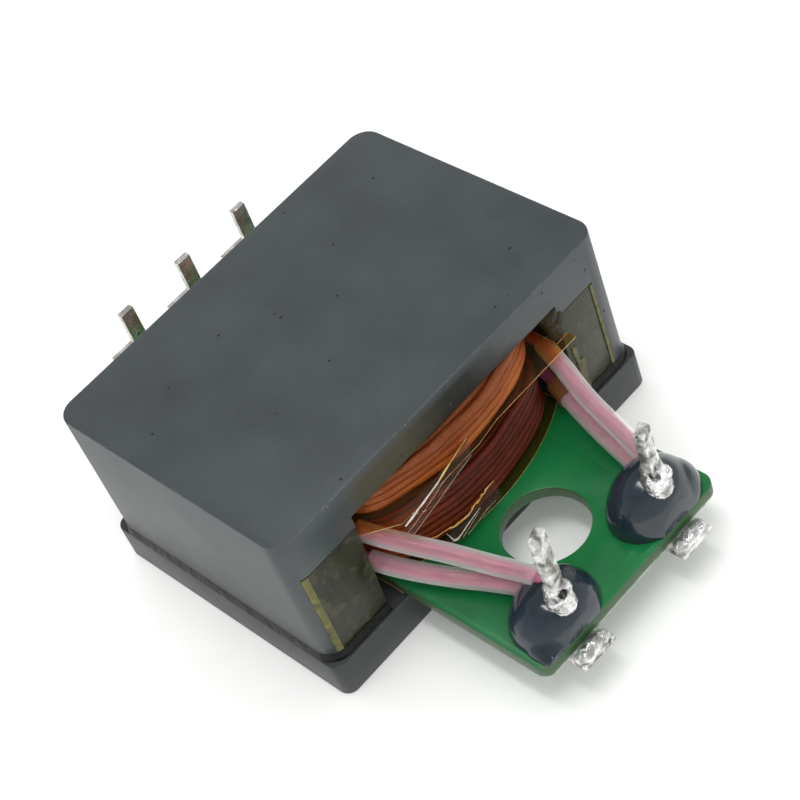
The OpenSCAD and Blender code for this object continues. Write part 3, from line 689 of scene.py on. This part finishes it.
def windCoil(nodeName, s):
    draw, shape = random.Random(s["seed"]), coilShape
    strands = []
    for row in range(s["rows"]):
        for column in range(s["columns"]):
            phase = [draw.uniform(0, shape["phaseUpTo"]) for _ in range(4)]
            swing = [draw.uniform(shape["calmest"], 1.0) * s["wander"] for _ in range(4)]
            points = strandLine(s, row, column, phase, swing)
            radius = s["strand"] / 2 * mm * draw.uniform(shape["thinnest"], shape["thickest"])
            strand = layTube(points, radius, s["sides"], closed=True)
            shade = strand.data.attributes.new("strandTone", "FLOAT", "POINT")
            shade.data.foreach_set("value", [draw.random()] * len(strand.data.vertices))
            strands.append(strand)
    settle(joined(strands), nodeName, s["finish"], smoothAngle=80)


for nodeName, settings in coils.items():
    windCoil(nodeName, settings)
print("stage: coils wound")


# Leads: wires in clear sleeves, from the coils' corners to their pins

leadSettings = {"sleeveRadius": 1.1, "sleeveWall": 0.3, "wireRadius": 0.75, "sides": 9,
                "smoothAngle": 60}
leads = {  # the number of points before the sleeve begins, and the line in millimetres
    "left_upper": (2, [
        (-14.95, -9.5, 15), (-14.95, -12.2, 14.85), (-14.4, -14.9, 14.7), (-13.5, -17, 13.9),
        (-12.1, -19.6, 12.8), (-10.2, -23.6, 11.7), (-8.6, -28, 11), (-7.3, -31.6, 10.5),
        (-7.2, -32.8, 10.5), (-7.3, -35.1, 9.8)]),
    "left_lower": (1, [
        (-15.1, -13.9, 10.2), (-14.7, -15.5, 10.1), (-13.7, -18.2, 9.6), (-11.3, -23.4, 8.8),
        (-8.9, -28, 8.3), (-7.6, -31.2, 8.1), (-7.4, -32.2, 8.05), (-7.4, -35.1, 8.1)]),
    "right_upper": (2, [
        (14.95, -9.5, 15), (15.1, -12.6, 14.85), (15.1, -15.6, 14.7), (14.2, -18.9, 13.7),
        (12.8, -23.4, 12.4), (11.5, -29.2, 11.2), (10.5, -32.8, 10.6), (9, -35.2, 10.2)]),
    "right_lower": (1, [
        (15.1, -14.2, 9), (14.6, -16.4, 9), (13.6, -19.4, 8.9), (12.1, -24.6, 8.5),
        (10.8, -29.6, 8.5), (10.2, -32, 8.4), (9.2, -35.2, 8.3)]),
}
tapeSettings = {"radius": 1.28, "wall": 0.18, "sides": 5,
                "line": [(14.6, -16.5, 9), (14.15, -17.8, 8.97), (13.7, -19.1, 8.9)]}


def layHose(line, radius, wall, sides):
    # an open tube, whose wall goes inwards from its radius
    hose = layTube(line, radius * mm, sides, smoothLine=True, capped=False)
    return modify(hose, "SOLIDIFY", thickness=wall * mm, offset=-1)


def layLead(end, bareCount, points):
    s, line = leadSettings, metres(points)
    wire = layTube(line, s["wireRadius"] * mm, s["sides"], smoothLine=True)
    settle(wire, "wire_" + end, "wire", s["smoothAngle"])
    sleeve = layHose(line[bareCount:-1], s["sleeveRadius"], s["sleeveWall"], s["sides"])
    settle(sleeve, "sleeve_" + end, "sleeve", s["smoothAngle"])


for end, (bareCount, points) in leads.items():
    layLead(end, bareCount, points)
tape = layHose(metres(tapeSettings["line"]), tapeSettings["radius"], tapeSettings["wall"],
               tapeSettings["sides"])
settle(tape, "lead_tape", "tape", leadSettings["smoothAngle"])
print("stage: leads laid")


# Melted forms: resin and solder

meltDetail = {"ballSegments": 40, "ballRings": 24, "coneSides": 32, "barSegments": 3,
              "smoothAngle": 50}


def primitive(addOne, centre, **values):
    addOne(location=Vector(centre) * mm, **values)
    return bpy.context.object


def ball(centre, radii):
    piece = primitive(bpy.ops.mesh.primitive_uv_sphere_add, centre, radius=1,
                      segments=meltDetail["ballSegments"], ring_count=meltDetail["ballRings"],
                      scale=Vector(radii) * mm)
    bpy.ops.object.transform_apply()
    return piece


def balls(parts):
    return [ball(*part) for part in parts]


def cone(centre, low, high, depth):
    piece = primitive(bpy.ops.mesh.primitive_cone_add, centre, radius1=low * mm,
                      radius2=high * mm, depth=depth * mm, vertices=meltDetail["coneSides"])
    bpy.ops.object.transform_apply()
    return piece


def block(centre, size, turn=0):
    return primitive(bpy.ops.mesh.primitive_cube_add, centre, size=1,
                     scale=Vector(size) * mm, rotation=(0, 0, math.radians(turn)))


def bar(centre, size, bevel, turn=0):
    piece = block(centre, size, turn)
    bpy.ops.object.transform_apply()
    return modify(piece, "BEVEL", width=bevel * mm, segments=meltDetail["barSegments"])


def melt(parts, voxel, smooth, waves):
    # parts grow together as cooled resin or solder does, then get slow and fine unevenness
    piece = joined(parts)
    modify(piece, "REMESH", mode="VOXEL", voxel_size=voxel * mm)
    modify(piece, "SMOOTH", iterations=smooth)
    for scale, strength in waves:
        cloud = bpy.data.textures.new("cloud", "CLOUDS")
        cloud.noise_scale = scale * mm
        modify(piece, "DISPLACE", texture=cloud, strength=strength * mm)
    return piece


def pour(nodeName, parts, s, finish, name=None):
    # the parts melt, keep within a box or get a hollow, and take their place
    piece = melt(parts, s["voxel"], s["smooth"], s["waves"])
    if "within" in s:
        low, high = s["within"]
        centre = [(a + b) / 2 for a, b in zip(low, high)]
        combine(piece, block(centre, Vector(high) - Vector(low)), "INTERSECT")
    if "hollow" in s:
        combine(piece, ball(*s["hollow"]), "DIFFERENCE")
    settle(piece, nodeName, finish, meltDetail["smoothAngle"], name)


# a ball is its centre and radii, a bar its centre and size, a wave its scale and its height
domeSettings = {
    "x": 8, "y": -34.7, "z": 6.9, "radiusX": 5.5, "radiusY": 4.4, "voxel": 0.16, "smooth": 14,
    "within": ((-14.05, -38.55, 6.9), (14.05, -20, 20)),
    "left": {"side": -1, "height": 4.3, "waves": ((4.5, 0.28), (1.6, 0.05)), "balls": [
        ((-11.3, -36.4, 6.9), (2.4, 2.4, 1.6)), ((-12.3, -37.6, 6.9), (1.3, 1.4, 0.8)),
        ((-6.2, -34.2, 7.6), (3.2, 3, 3.2))]},
    "right": {"side": 1, "height": 5.8, "waves": ((6.5, 0.2), (1.6, 0.03)), "balls": [
        ((10.6, -35.4, 7.2), (3.2, 3.2, 3.6))]},
}
pinSettings = {
    "x": 8, "y": -36.4, "width": 1.9, "thick": 1.1, "turn": 18, "low": 4.5, "coat": 0.1,
    "tipCoat": 0.12, "pinBevel": 0.14, "footWidth": 4.9, "footFront": -40.72, "footBack": -35.3,
    "footShift": -0.45, "footBevel": 0.2, "strip": 0.8, "voxel": 0.1, "smooth": 1,
    "waves": ((1.1, 0.2), (0.35, 0.07)), "within": ((-20, -40.78, 4.5), (20, -30, 24)),
    "left": {"side": -1, "tip": 21.6, "balls": [
        ((-7.9, -36.5, 20.6), (0.85, 0.5, 0.8)), ((-8.2, -36.7, 15.5), (0.9, 0.62, 1.6)),
        ((-7.8, -36.3, 18.2), (0.8, 0.6, 1.2))]},
    "right": {"side": 1, "tip": 20.4, "balls": [
        ((8.1, -36.6, 17.2), (0.85, 0.6, 1.5)), ((7.9, -36.4, 19.6), (0.8, 0.55, 0.7))]},
}
rearSettings = {"pitch": 9.2, "y": 24.75, "width": 1.9, "thick": 0.85, "low": 13.39, "tip": 22.4,
                "pinBevel": 0.12, "footY": 26.6, "footWidth": 4.9, "footDepth": 5.3,
                "footBevel": 0.1, "strip": 0.8, "smoothAngle": 35}
collarSettings = {
    "cones": ((0.25, 1.7, 1.5, 0.5), (0.7, 1.5, 1.1, 0.6)), "voxel": 0.09, "smooth": 5,
    "waves": ((0.8, 0.32), (0.3, 0.12)),
    "left": {"side": -1, "low": 9.8, "high": 13.2,
             "hollow": ((-8.2, -37.6, 12.6), (0.5, 0.5, 0.6)), "balls": [
        ((-8.9, -36.8, 11.7), (0.9, 0.9, 0.9)), ((-7.3, -36.9, 12.1), (0.8, 0.7, 1.1)),
        ((-8, -35.6, 12), (1, 0.7, 1.2))]},
    "right": {"side": 1, "low": 10.8, "high": 14.7,
              "hollow": ((7.2, -37.5, 14.4), (0.42, 0.5, 0.5)), "balls": [
        ((7, -36.9, 13), (0.9, 0.8, 1.1)), ((8.8, -37, 12.8), (0.9, 0.8, 0.9)),
        ((8.1, -35.5, 13.2), (1, 0.7, 1.3))]},
}
footSettings = {
    "voxel": 0.09, "smooth": 6, "waves": ((1.3, 0.22), (0.4, 0.06)),
    "within": ((-20, -40.76, 5.1), (20, -38.6, 9)),
    "left": [
        ((-9.6, -39.7, 5.3), (1.25, 1, 0.85)), ((-8.4, -39.65, 5.35), (1.4, 1, 0.95)),
        ((-7.2, -39.7, 5.3), (1.1, 0.95, 0.8))],
    "right": [
        ((6.4, -39.65, 5.25), (1.2, 0.98, 0.75)), ((7.7, -39.7, 5.3), (1.4, 1, 0.85)),
        ((9, -39.6, 5.3), (1, 0.95, 0.7))],
}
lumpSettings = {
    "voxel": 0.09, "smooth": 6, "waves": ((1.4, 0.35), (0.4, 0.1)),
    "within": ((14, -18.5, 15), (17.6, -16.2, 20.3)), "balls": [
        ((15.7, -17.2, 19.4), (1.4, 0.85, 1.4)), ((15.6, -17.35, 17.6), (0.95, 0.7, 1.7)),
        ((16.5, -17.6, 18.5), (0.9, 0.45, 1.1)), ((15.9, -17.5, 16.5), (0.6, 0.5, 0.9))],
}
runSettings = {
    "voxel": 0.1, "smooth": 3, "waves": ((0.6, 0.3), (0.25, 0.12)), "bevel": 0.1,
    "within": ((16.3, -17.98, 5.9), (18.6, -17.72, 13.4)),
    "bars": [
        ((17.6, -17.8, 8.2), (0.9, 0.3, 4.4)), ((17.35, -17.8, 11), (0.6, 0.26, 4.2)),
        ((18, -17.8, 9.6), (0.5, 0.24, 2.2)), ((17.1, -17.8, 12.4), (0.4, 0.22, 1.8))],
}


def pourDome(end):
    s = {**domeSettings, **domeSettings[end]}
    parts = [ball((s["side"] * s["x"], s["y"], s["z"]), (s["radiusX"], s["radiusY"], s["height"]))]
    parts += balls(s["balls"])
    pour("resin_dome_" + end, parts, s, "epoxy", "dome" + end.capitalize())


def drawPin(end):
    s = {**pinSettings, **pinSettings[end]}
    x, low, strip = s["side"] * s["x"], s["low"], s["strip"]
    height = s["tip"] - low - s["tipCoat"]
    parts = [bar((x, s["y"], low + height / 2),
                 (s["width"] + s["coat"], s["thick"] + s["coat"], height), s["pinBevel"],
                 s["turn"]),
             bar((x + s["footShift"], (s["footFront"] + s["footBack"]) / 2, low + strip / 2),
                 (s["footWidth"] - s["coat"], s["footBack"] - s["footFront"], strip),
                 s["footBevel"])]
    parts += balls(s["balls"])
    pour("front_terminal_" + end, parts, s, "roughTin")


def drawRear(end, number):
    s, x = rearSettings, number * rearSettings["pitch"]
    pin = bar((x, s["y"], (s["low"] + s["tip"]) / 2),
              (s["width"], s["thick"], s["tip"] - s["low"]), s["pinBevel"])
    foot = bar((x, s["footY"], s["low"] + s["strip"] / 2),
               (s["footWidth"], s["footDepth"], s["strip"]), s["footBevel"])
    combine(pin, foot, "UNION")
    settle(pin, "rear_terminal_" + end, "plainTin", s["smoothAngle"])


def meltCollar(end):
    # a cone is its centre's height as a share of the collar's, two radii and such a share
    s = {**collarSettings, **collarSettings[end]}
    x, y, low = s["side"] * pinSettings["x"], pinSettings["y"], s["low"]
    depth = s["high"] - low
    parts = [cone((x, y, low + depth * level), wide, narrow, depth * share)
             for level, wide, narrow, share in s["cones"]]
    parts += balls(s["balls"])
    pour("solder_collar_" + end, parts, s, "solder", "collar" + end.capitalize())


ends = ("left", "right")
for end in ends:
    pourDome(end)
for end in ends:
    drawPin(end)
for end, number in (("left", -1), ("middle", 0), ("right", 1)):
    drawRear(end, number)
for end in ends:
    meltCollar(end)
for end in ends:
    pour("foot_solder_" + end, balls(footSettings[end]), footSettings, "solder")
pour("resin_lump", balls(lumpSettings["balls"]), lumpSettings, "brownResin")
pour("glue_run", [bar(*part, runSettings["bevel"]) for part in runSettings["bars"]], runSettings,
     "driedRun")
print("stage: resin and solder poured")


# Amber films with their curled front edges

filmKinds = ["clear", "edge", "gleam", "fold", "curl"]
filmSettings = {"thick": 0.09, "legX": 10.1, "legY": 14.6, "legCorner": 1.9, "cornerSteps": 6,
                "across": 13, "subdivisions": 2, "filmLineSides": 1, "uprightBelow": 0.1,
                "smoothAngle": 35}
middleCurl = [
    [(-12, -18.4, 15.95), (-8.5, -18.6, 15.97), (-5, -18.8, 15.98), (-1, -19.1, 16.02)],
    [(-12.1, -19.2, 16.05), (-8.6, -19.4, 16.4), (-5, -19.6, 17.1), (-1, -19.7, 17.9)],
    [(-12, -19.8, 16.1), (-8.7, -19.9, 16.7), (-4.8, -19.95, 17.8), (-1, -20, 18.8)],
    [(-11.9, -20.15, 15.95), (-8.8, -20.15, 16.6), (-4.8, -20.2, 17.75), (-1.1, -20.25, 18.7)],
    [(-11.95, -20.25, 15.6), (-9.1, -20.3, 16.2), (-4.8, -20.35, 17.4), (-1.2, -20.35, 18.1)],
    [(-12.05, -20.5, 15.25), (-9.4, -20.5, 15.85), (-4.7, -20.5, 17.05), (-1.3, -20.45, 17.6)],
    [(-11.8, -20.4, 14.9), (-8.8, -20.45, 15.5), (-4.6, -20.5, 16.5), (-1.4, -20.45, 17.1)],
    [(-11.6, -20.6, 14.54), (-8.2, -20.6, 15.2), (-4.4, -20.6, 16.16), (-1.6, -20.5, 16.81)],
    [(-11.45, -20.4, 14.2), (-8, -20.4, 14.8), (-4.3, -20.35, 15.7), (-1.6, -20.25, 16.4)],
]
lowerCurl = [
    [(-7.5, -18.6, 7.08), (-5.2, -18.9, 7.08), (-2.8, -19.1, 7.08), (0.2, -19.2, 7.08)],
    [(-7.5, -19.6, 7.15), (-5.2, -19.8, 7.15), (-2.8, -19.9, 7.12), (0.2, -19.9, 7.12)],
    [(-7.45, -20.25, 7.5), (-5.1, -20.45, 7.55), (-2.8, -20.5, 7.5), (0.2, -20.4, 7.45)],
    [(-7.45, -20.5, 8), (-5.2, -20.65, 8.1), (-2.8, -20.65, 8.2), (0.1, -20.5, 8.1)],
    [(-7.4, -20.45, 8.4), (-5.3, -20.5, 8.65), (-2.9, -20.5, 9.15), (0.1, -20.4, 9)],
    [(-7.35, -20.15, 8.9), (-5.1, -20.2, 9.1), (-2.8, -20.25, 9.4), (0.1, -20.2, 9.7)],
    [(-7.3, -20.05, 9.9), (-5, -20.1, 9.4), (-2.7, -20.1, 9.6), (0.1, -20.05, 10.2)],
]
# a line of the film is its kind, its widest radius and points, each with a share of that radius:
# the golden edge lines and white gleam lines are painted highlights along the curls' crests and
# edges, the fold lines are the film's folds
middleFoldsAndGlints = [
    ("edge", 0.12, [
        (-1.2, -20.3, 18.9, 0.15), (-2.6, -20.3, 18.5, 0.3), (-4.05, -20.3, 18.05, 0.55),
        (-5.2, -20.3, 17.65, 1), (-6.1, -20.3, 17.3, 0.8)]),
    ("gleam", 0.15, [
        (-5.9, -20.3, 17.35, 0.3), (-6.5, -20.3, 17.15, 0.7), (-7.5, -20.3, 16.95, 0.5),
        (-8.9, -20.3, 16.62, 0.8), (-9.6, -20.3, 16.5, 0.45), (-10.9, -20.3, 16.2, 1),
        (-11.9, -20.25, 15.98, 0.5)]),
    ("fold", 0.07, [
        (-1.6, -20.65, 16.8, 0.3), (-2.8, -20.65, 16.47, 0.8), (-4.4, -20.65, 16.16, 0.6),
        (-6.1, -20.65, 15.74, 1), (-7.8, -20.65, 15.33, 0.6), (-9.7, -20.65, 14.94, 0.8),
        (-11.6, -20.65, 14.54, 0.6)]),
    ("fold", 0.06, [
        (-4.7, -20.55, 17.08, 0.3), (-6.1, -20.55, 16.85, 0.8), (-7.8, -20.55, 16.34, 1),
        (-9.5, -20.55, 15.84, 0.5), (-11.3, -20.55, 15.44, 1), (-12.1, -20.5, 15.28, 0.5)]),
    ("gleam", 0.06, [
        (-10.6, -20.4, 16.9, 0.3), (-10.3, -20.4, 16.5, 1), (-10, -20.42, 16.2, 0.3)]),
    ("gleam", 0.07, [
        (-9.5, -20.45, 15.9, 0.3), (-9.25, -20.5, 15.8, 1), (-9, -20.5, 15.6, 0.2)]),
]
lowerFoldsAndGlints = [
    ("edge", 0.14, [
        (0.1, -20.15, 10.2, 0.2), (-0.6, -20.15, 10.17, 0.35), (-1.25, -20.1, 10.1, 0.8),
        (-1.6, -20.2, 9.9, 0.4), (-1.95, -20.1, 9.97, 0.9), (-2.3, -20.15, 9.72, 0.45),
        (-2.75, -20.1, 9.6, 1), (-3.2, -20.15, 9.75, 0.5), (-3.6, -20.1, 9.55, 0.9),
        (-3.9, -20.15, 9.4, 0.5), (-4.45, -20.15, 9.28, 0.9), (-5.2, -20.15, 9.4, 0.8),
        (-5.9, -20.15, 9.57, 1), (-6.5, -20.15, 9.66, 0.7), (-7.1, -20.1, 10.05, 0.8)]),
    ("edge", 0.08, [
        (-7.1, -20.1, 10.05, 1), (-7.7, -19.6, 9.7, 0.5), (-8.3, -19.2, 9.4, 1),
        (-8.9, -18.9, 9.5, 0.5), (-9.6, -18.5, 9.6, 0.8)]),
    ("gleam", 0.14, [
        (-7.9, -20.4, 10.3, 0.15), (-7.65, -20.45, 9.4, 0.5), (-7.42, -20.5, 8.5, 1),
        (-6.95, -20.55, 8.27, 0.8), (-6.3, -20.55, 8.39, 0.5), (-5.4, -20.55, 8.65, 0.5),
        (-4.5, -20.55, 8.9, 0.3), (-3.7, -20.55, 9.06, 0.3), (-2.95, -20.55, 9.2, 0.1)]),
    ("fold", 0.07, [
        (-6.4, -20.7, 7.94, 1), (-5.35, -20.7, 8.38, 0.6), (-4.3, -20.7, 8.73, 0.9),
        (-3.3, -20.65, 8.97, 0.4)]),
    ("fold", 0.06, [
        (-5.7, -20.75, 7.73, 1), (-4, -20.75, 8.04, 0.7), (-2.3, -20.75, 8.36, 1),
        (-0.8, -20.65, 8.18, 0.4)]),
]
middleOutline = [(15.2, 16.85), (-15.2, 16.85), (-15.2, -16.8), (-11.8, -19.6), (-6, -19.7),
                 (0.4, -19.7), (3.8, -19.15), (17, -19.15), (17, -18), (15.2, -18)]
lowerOutline = [(14.1, 16.85), (-14.1, 16.85)]
lowerOutline += arcPoints((0, coilShape["bowCentre"]), 28.74, -119, -59, 30)
films = {
    "middle_film": {"finish": "film", "level": 15.81, "between": (15.8, 15.93),
                    "outline": middleOutline, "curl": middleCurl, "creases": middleFoldsAndGlints},
    "lower_film": {"finish": "deepFilm", "level": 6.92, "between": (6.9, 7.03),
                   "outline": lowerOutline, "curl": lowerCurl, "creases": lowerFoldsAndGlints},
}


def flatFilm(outline, level):
    # a plate of film between coils: its outline filled, with an opening for the leg
    s, opening = filmSettings, []
    for x, y, start in ((1, 1, 0), (-1, 1, 90), (-1, -1, 180), (1, -1, 270)):
        centre = (x * (s["legX"] - s["legCorner"]), y * (s["legY"] - s["legCorner"]))
        opening += arcPoints(centre, s["legCorner"], start, start + 90, s["cornerSteps"])
    sheet = startCurve()
    sheet.data.dimensions = "2D"
    sheet.data.fill_mode = "BOTH"
    for ring in (outline, opening):
        spline = sheet.data.splines.new("POLY")
        spline.points.add(len(ring) - 1)
        for knot, (x, y) in zip(spline.points, ring):
            knot.co = (x * mm, y * mm, 0, 1)
        spline.use_cyclic_u = True
    sheet.data.extrude = s["thick"] / 2 * mm
    sheet.location.z = (level + s["thick"] / 2) * mm
    sheet = meshFrom(sheet)
    bpy.ops.object.transform_apply()
    return sheet


def pointAlong(points, share):
    # a point on the straight runs between the points given
    spot = share * (len(points) - 1)
    first = min(int(spot), len(points) - 2)
    return Vector(points[first]).lerp(Vector(points[first + 1]), spot - first)


def curledFilm(rows, across):
    # a sheet through rows of points, each row running along the band, in millimetres
    bpy.ops.mesh.primitive_grid_add(x_subdivisions=across - 1, y_subdivisions=len(rows) - 1,
                                    size=1, location=(0, 0, 0))
    sheet = bpy.context.object
    ordered = sorted(sheet.data.vertices, key=lambda v: (round(v.co.y, 4), round(v.co.x, 4)))
    for number, corner in enumerate(ordered):
        row, step = divmod(number, across)
        corner.co = pointAlong(rows[row], step / (across - 1)) * mm
    modify(sheet, "SUBSURF", levels=filmSettings["subdivisions"])
    return modify(sheet, "SOLIDIFY", thickness=filmSettings["thick"] * mm, offset=0)


def markKind(piece, kind):
    # every face knows its kind of film, by the place in filmKinds
    mark = piece.data.attributes.new("filmKind", "INT", "FACE")
    mark.data.foreach_set("value", [filmKinds.index(kind)] * len(piece.data.polygons))
    return piece


def layFilm(nodeName, own):
    s = filmSettings
    parts = [markKind(flatFilm(own["outline"], own["level"]), "clear"),
             markKind(curledFilm(own["curl"], s["across"]), "curl")]
    # painted highlight lines and fold lines, as thin tubes
    for kind, widest, points in own["creases"]:
        filmLine = layTube(metres(point[:3] for point in points), widest * mm, s["filmLineSides"],
                         radii=[point[3] for point in points])
        parts.append(markKind(filmLine, kind))
    film = settle(joined(parts), nodeName, own["finish"], s["smoothAngle"])
    for kind in filmKinds[1:]:
        film.data.materials.append(finishes["film" + kind.capitalize()])
    # the plate's own cut edge gets the same painted golden highlight too
    low, high = own["between"]
    corners = film.data.vertices
    for face, mark in zip(film.data.polygons, film.data.attributes["filmKind"].data):
        level = [corners[i].co.z / mm for i in face.vertices]
        upright = abs(face.normal.z) < s["uprightBelow"]
        cutEdge = upright and min(level) > low and max(level) < high
        face.material_index = filmKinds.index("edge") if cutEdge else mark.value


for nodeName, settings in films.items():
    layFilm(nodeName, settings)
print("stage: films curled")


# Camera, as fitted to the photo

cameraSettings = {"azimuth": -30.046, "elevation": 46.055, "roll": -22.887, "distance": 0.24067,
                  "across": 0.00157, "up": 0.00746, "focal": 2091.8, "picture": 800,
                  "sensor": 36.0, "nearest": 0.01, "furthest": 10}


def placeCamera(s):
    azimuth, elevation, roll = (math.radians(s[k]) for k in ("azimuth", "elevation", "roll"))
    back = Vector((math.sin(azimuth) * math.cos(elevation),
                   -math.cos(azimuth) * math.cos(elevation), math.sin(elevation)))
    level = (-back).cross(Vector((0, 0, 1))).normalized()
    plumb = level.cross(-back)
    right = level * math.cos(roll) + plumb * math.sin(roll)
    top = plumb * math.cos(roll) - level * math.sin(roll)
    lens = bpy.data.cameras.new("camera")
    lens.sensor_width = s["sensor"]
    lens.lens = s["focal"] / s["picture"] * s["sensor"]
    lens.clip_start, lens.clip_end = s["nearest"], s["furthest"]
    holder = newObject("camera", lens)
    turn = Matrix((right, top, back)).transposed().to_4x4()
    turn.translation = back * s["distance"] + right * s["across"] + top * s["up"]
    holder.matrix_world = turn
    bpy.context.scene.camera = holder


placeCamera(cameraSettings)


# Floor, lamps and surroundings

floorSettings = {"size": 4, "glow": 0.05}
worldSettings = {"horizon": 0.72, "zenith": 0.32, "horizonUpTo": 0.05, "zenithFrom": 0.8}
lamps = [  # name, place, size, watts, aimed at, seen in reflections
    ("softboxTop", (0.05, 0.08, 0.60), (0.7, 0.7), 2.1, (0, 0, 0.012), False),
    ("softboxBack", (0.10, 0.42, 0.40), (0.5, 0.5), 0.7, (0, 0, 0.012), False),
    ("softboxFront", (-0.15, -0.50, 0.36), (0.5, 0.5), 1.4, (0, -0.01, 0.012), False),
    ("softboxRight", (0.42, -0.25, 0.34), (0.5, 0.5), 0.4, (0, -0.01, 0.012), False),
    ("softboxLeft", (-0.45, 0.05, 0.35), (0.5, 0.5), 0.4, (0, 0, 0.012), False),
    ("strip", (-0.05, -0.08, 0.62), (0.08, 0.4), 1.0, (-0.05, -0.08, 0.0), True),
]


def makeFloor():
    # the floor glows a little where it is seen, and lights nothing
    at = openMaterial("paleFloor")
    colour = blend(clouds(at, scale=40, detail=3), tone("#e9eae8"), tone("#f0f0ee"))
    surface = place("BsdfPrincipled", {"Base Color": colour, "Roughness": 0.8,
                                       "Specular IOR Level": 0.1})[0]
    ray = place("LightPath", {})
    seen = greater(greater(ray["Is Camera Ray"], ray["Is Glossy Ray"]), ray["Is Transmission Ray"])
    glow = place("Emission", {
        "Color": (1, 1, 1, 1), "Strength": times(seen, floorSettings["glow"])})[0]
    made = closeMaterial(place("AddShader", {0: surface, 1: glow})[0])
    bpy.ops.mesh.primitive_plane_add(size=floorSettings["size"], location=(0, 0, 0))
    floor = bpy.context.object
    floor.name = "floor"
    floor.data.materials.append(made)


def lightScene():
    world = bpy.data.worlds.new("studio")
    bpy.context.scene.world = world
    openTree(world)
    s = worldSettings
    height = axes(place("TexCoord", {})["Generated"])["Z"]
    level = remap(height, s["horizonUpTo"], s["zenithFrom"], s["horizon"], s["zenith"])
    plain = place("Background", {"Color": (1, 1, 1, 1), "Strength": level})[0]
    place("OutputWorld", {"Surface": plain})
    for name, spot, size, watts, target, mirrored in lamps:
        lamp = bpy.data.lights.new(name, "AREA")
        lamp.shape = "RECTANGLE"
        lamp.size, lamp.size_y = size
        lamp.energy = watts
        holder = newObject(name, lamp)
        holder.location = spot
        holder.visible_glossy = mirrored
        holder.rotation_euler = (Vector(target) - Vector(spot)).to_track_quat("-Z", "Y").to_euler()


makeFloor()
lightScene()
bpy.context.scene.view_settings.view_transform = "Standard"
print("stage: stage lit")
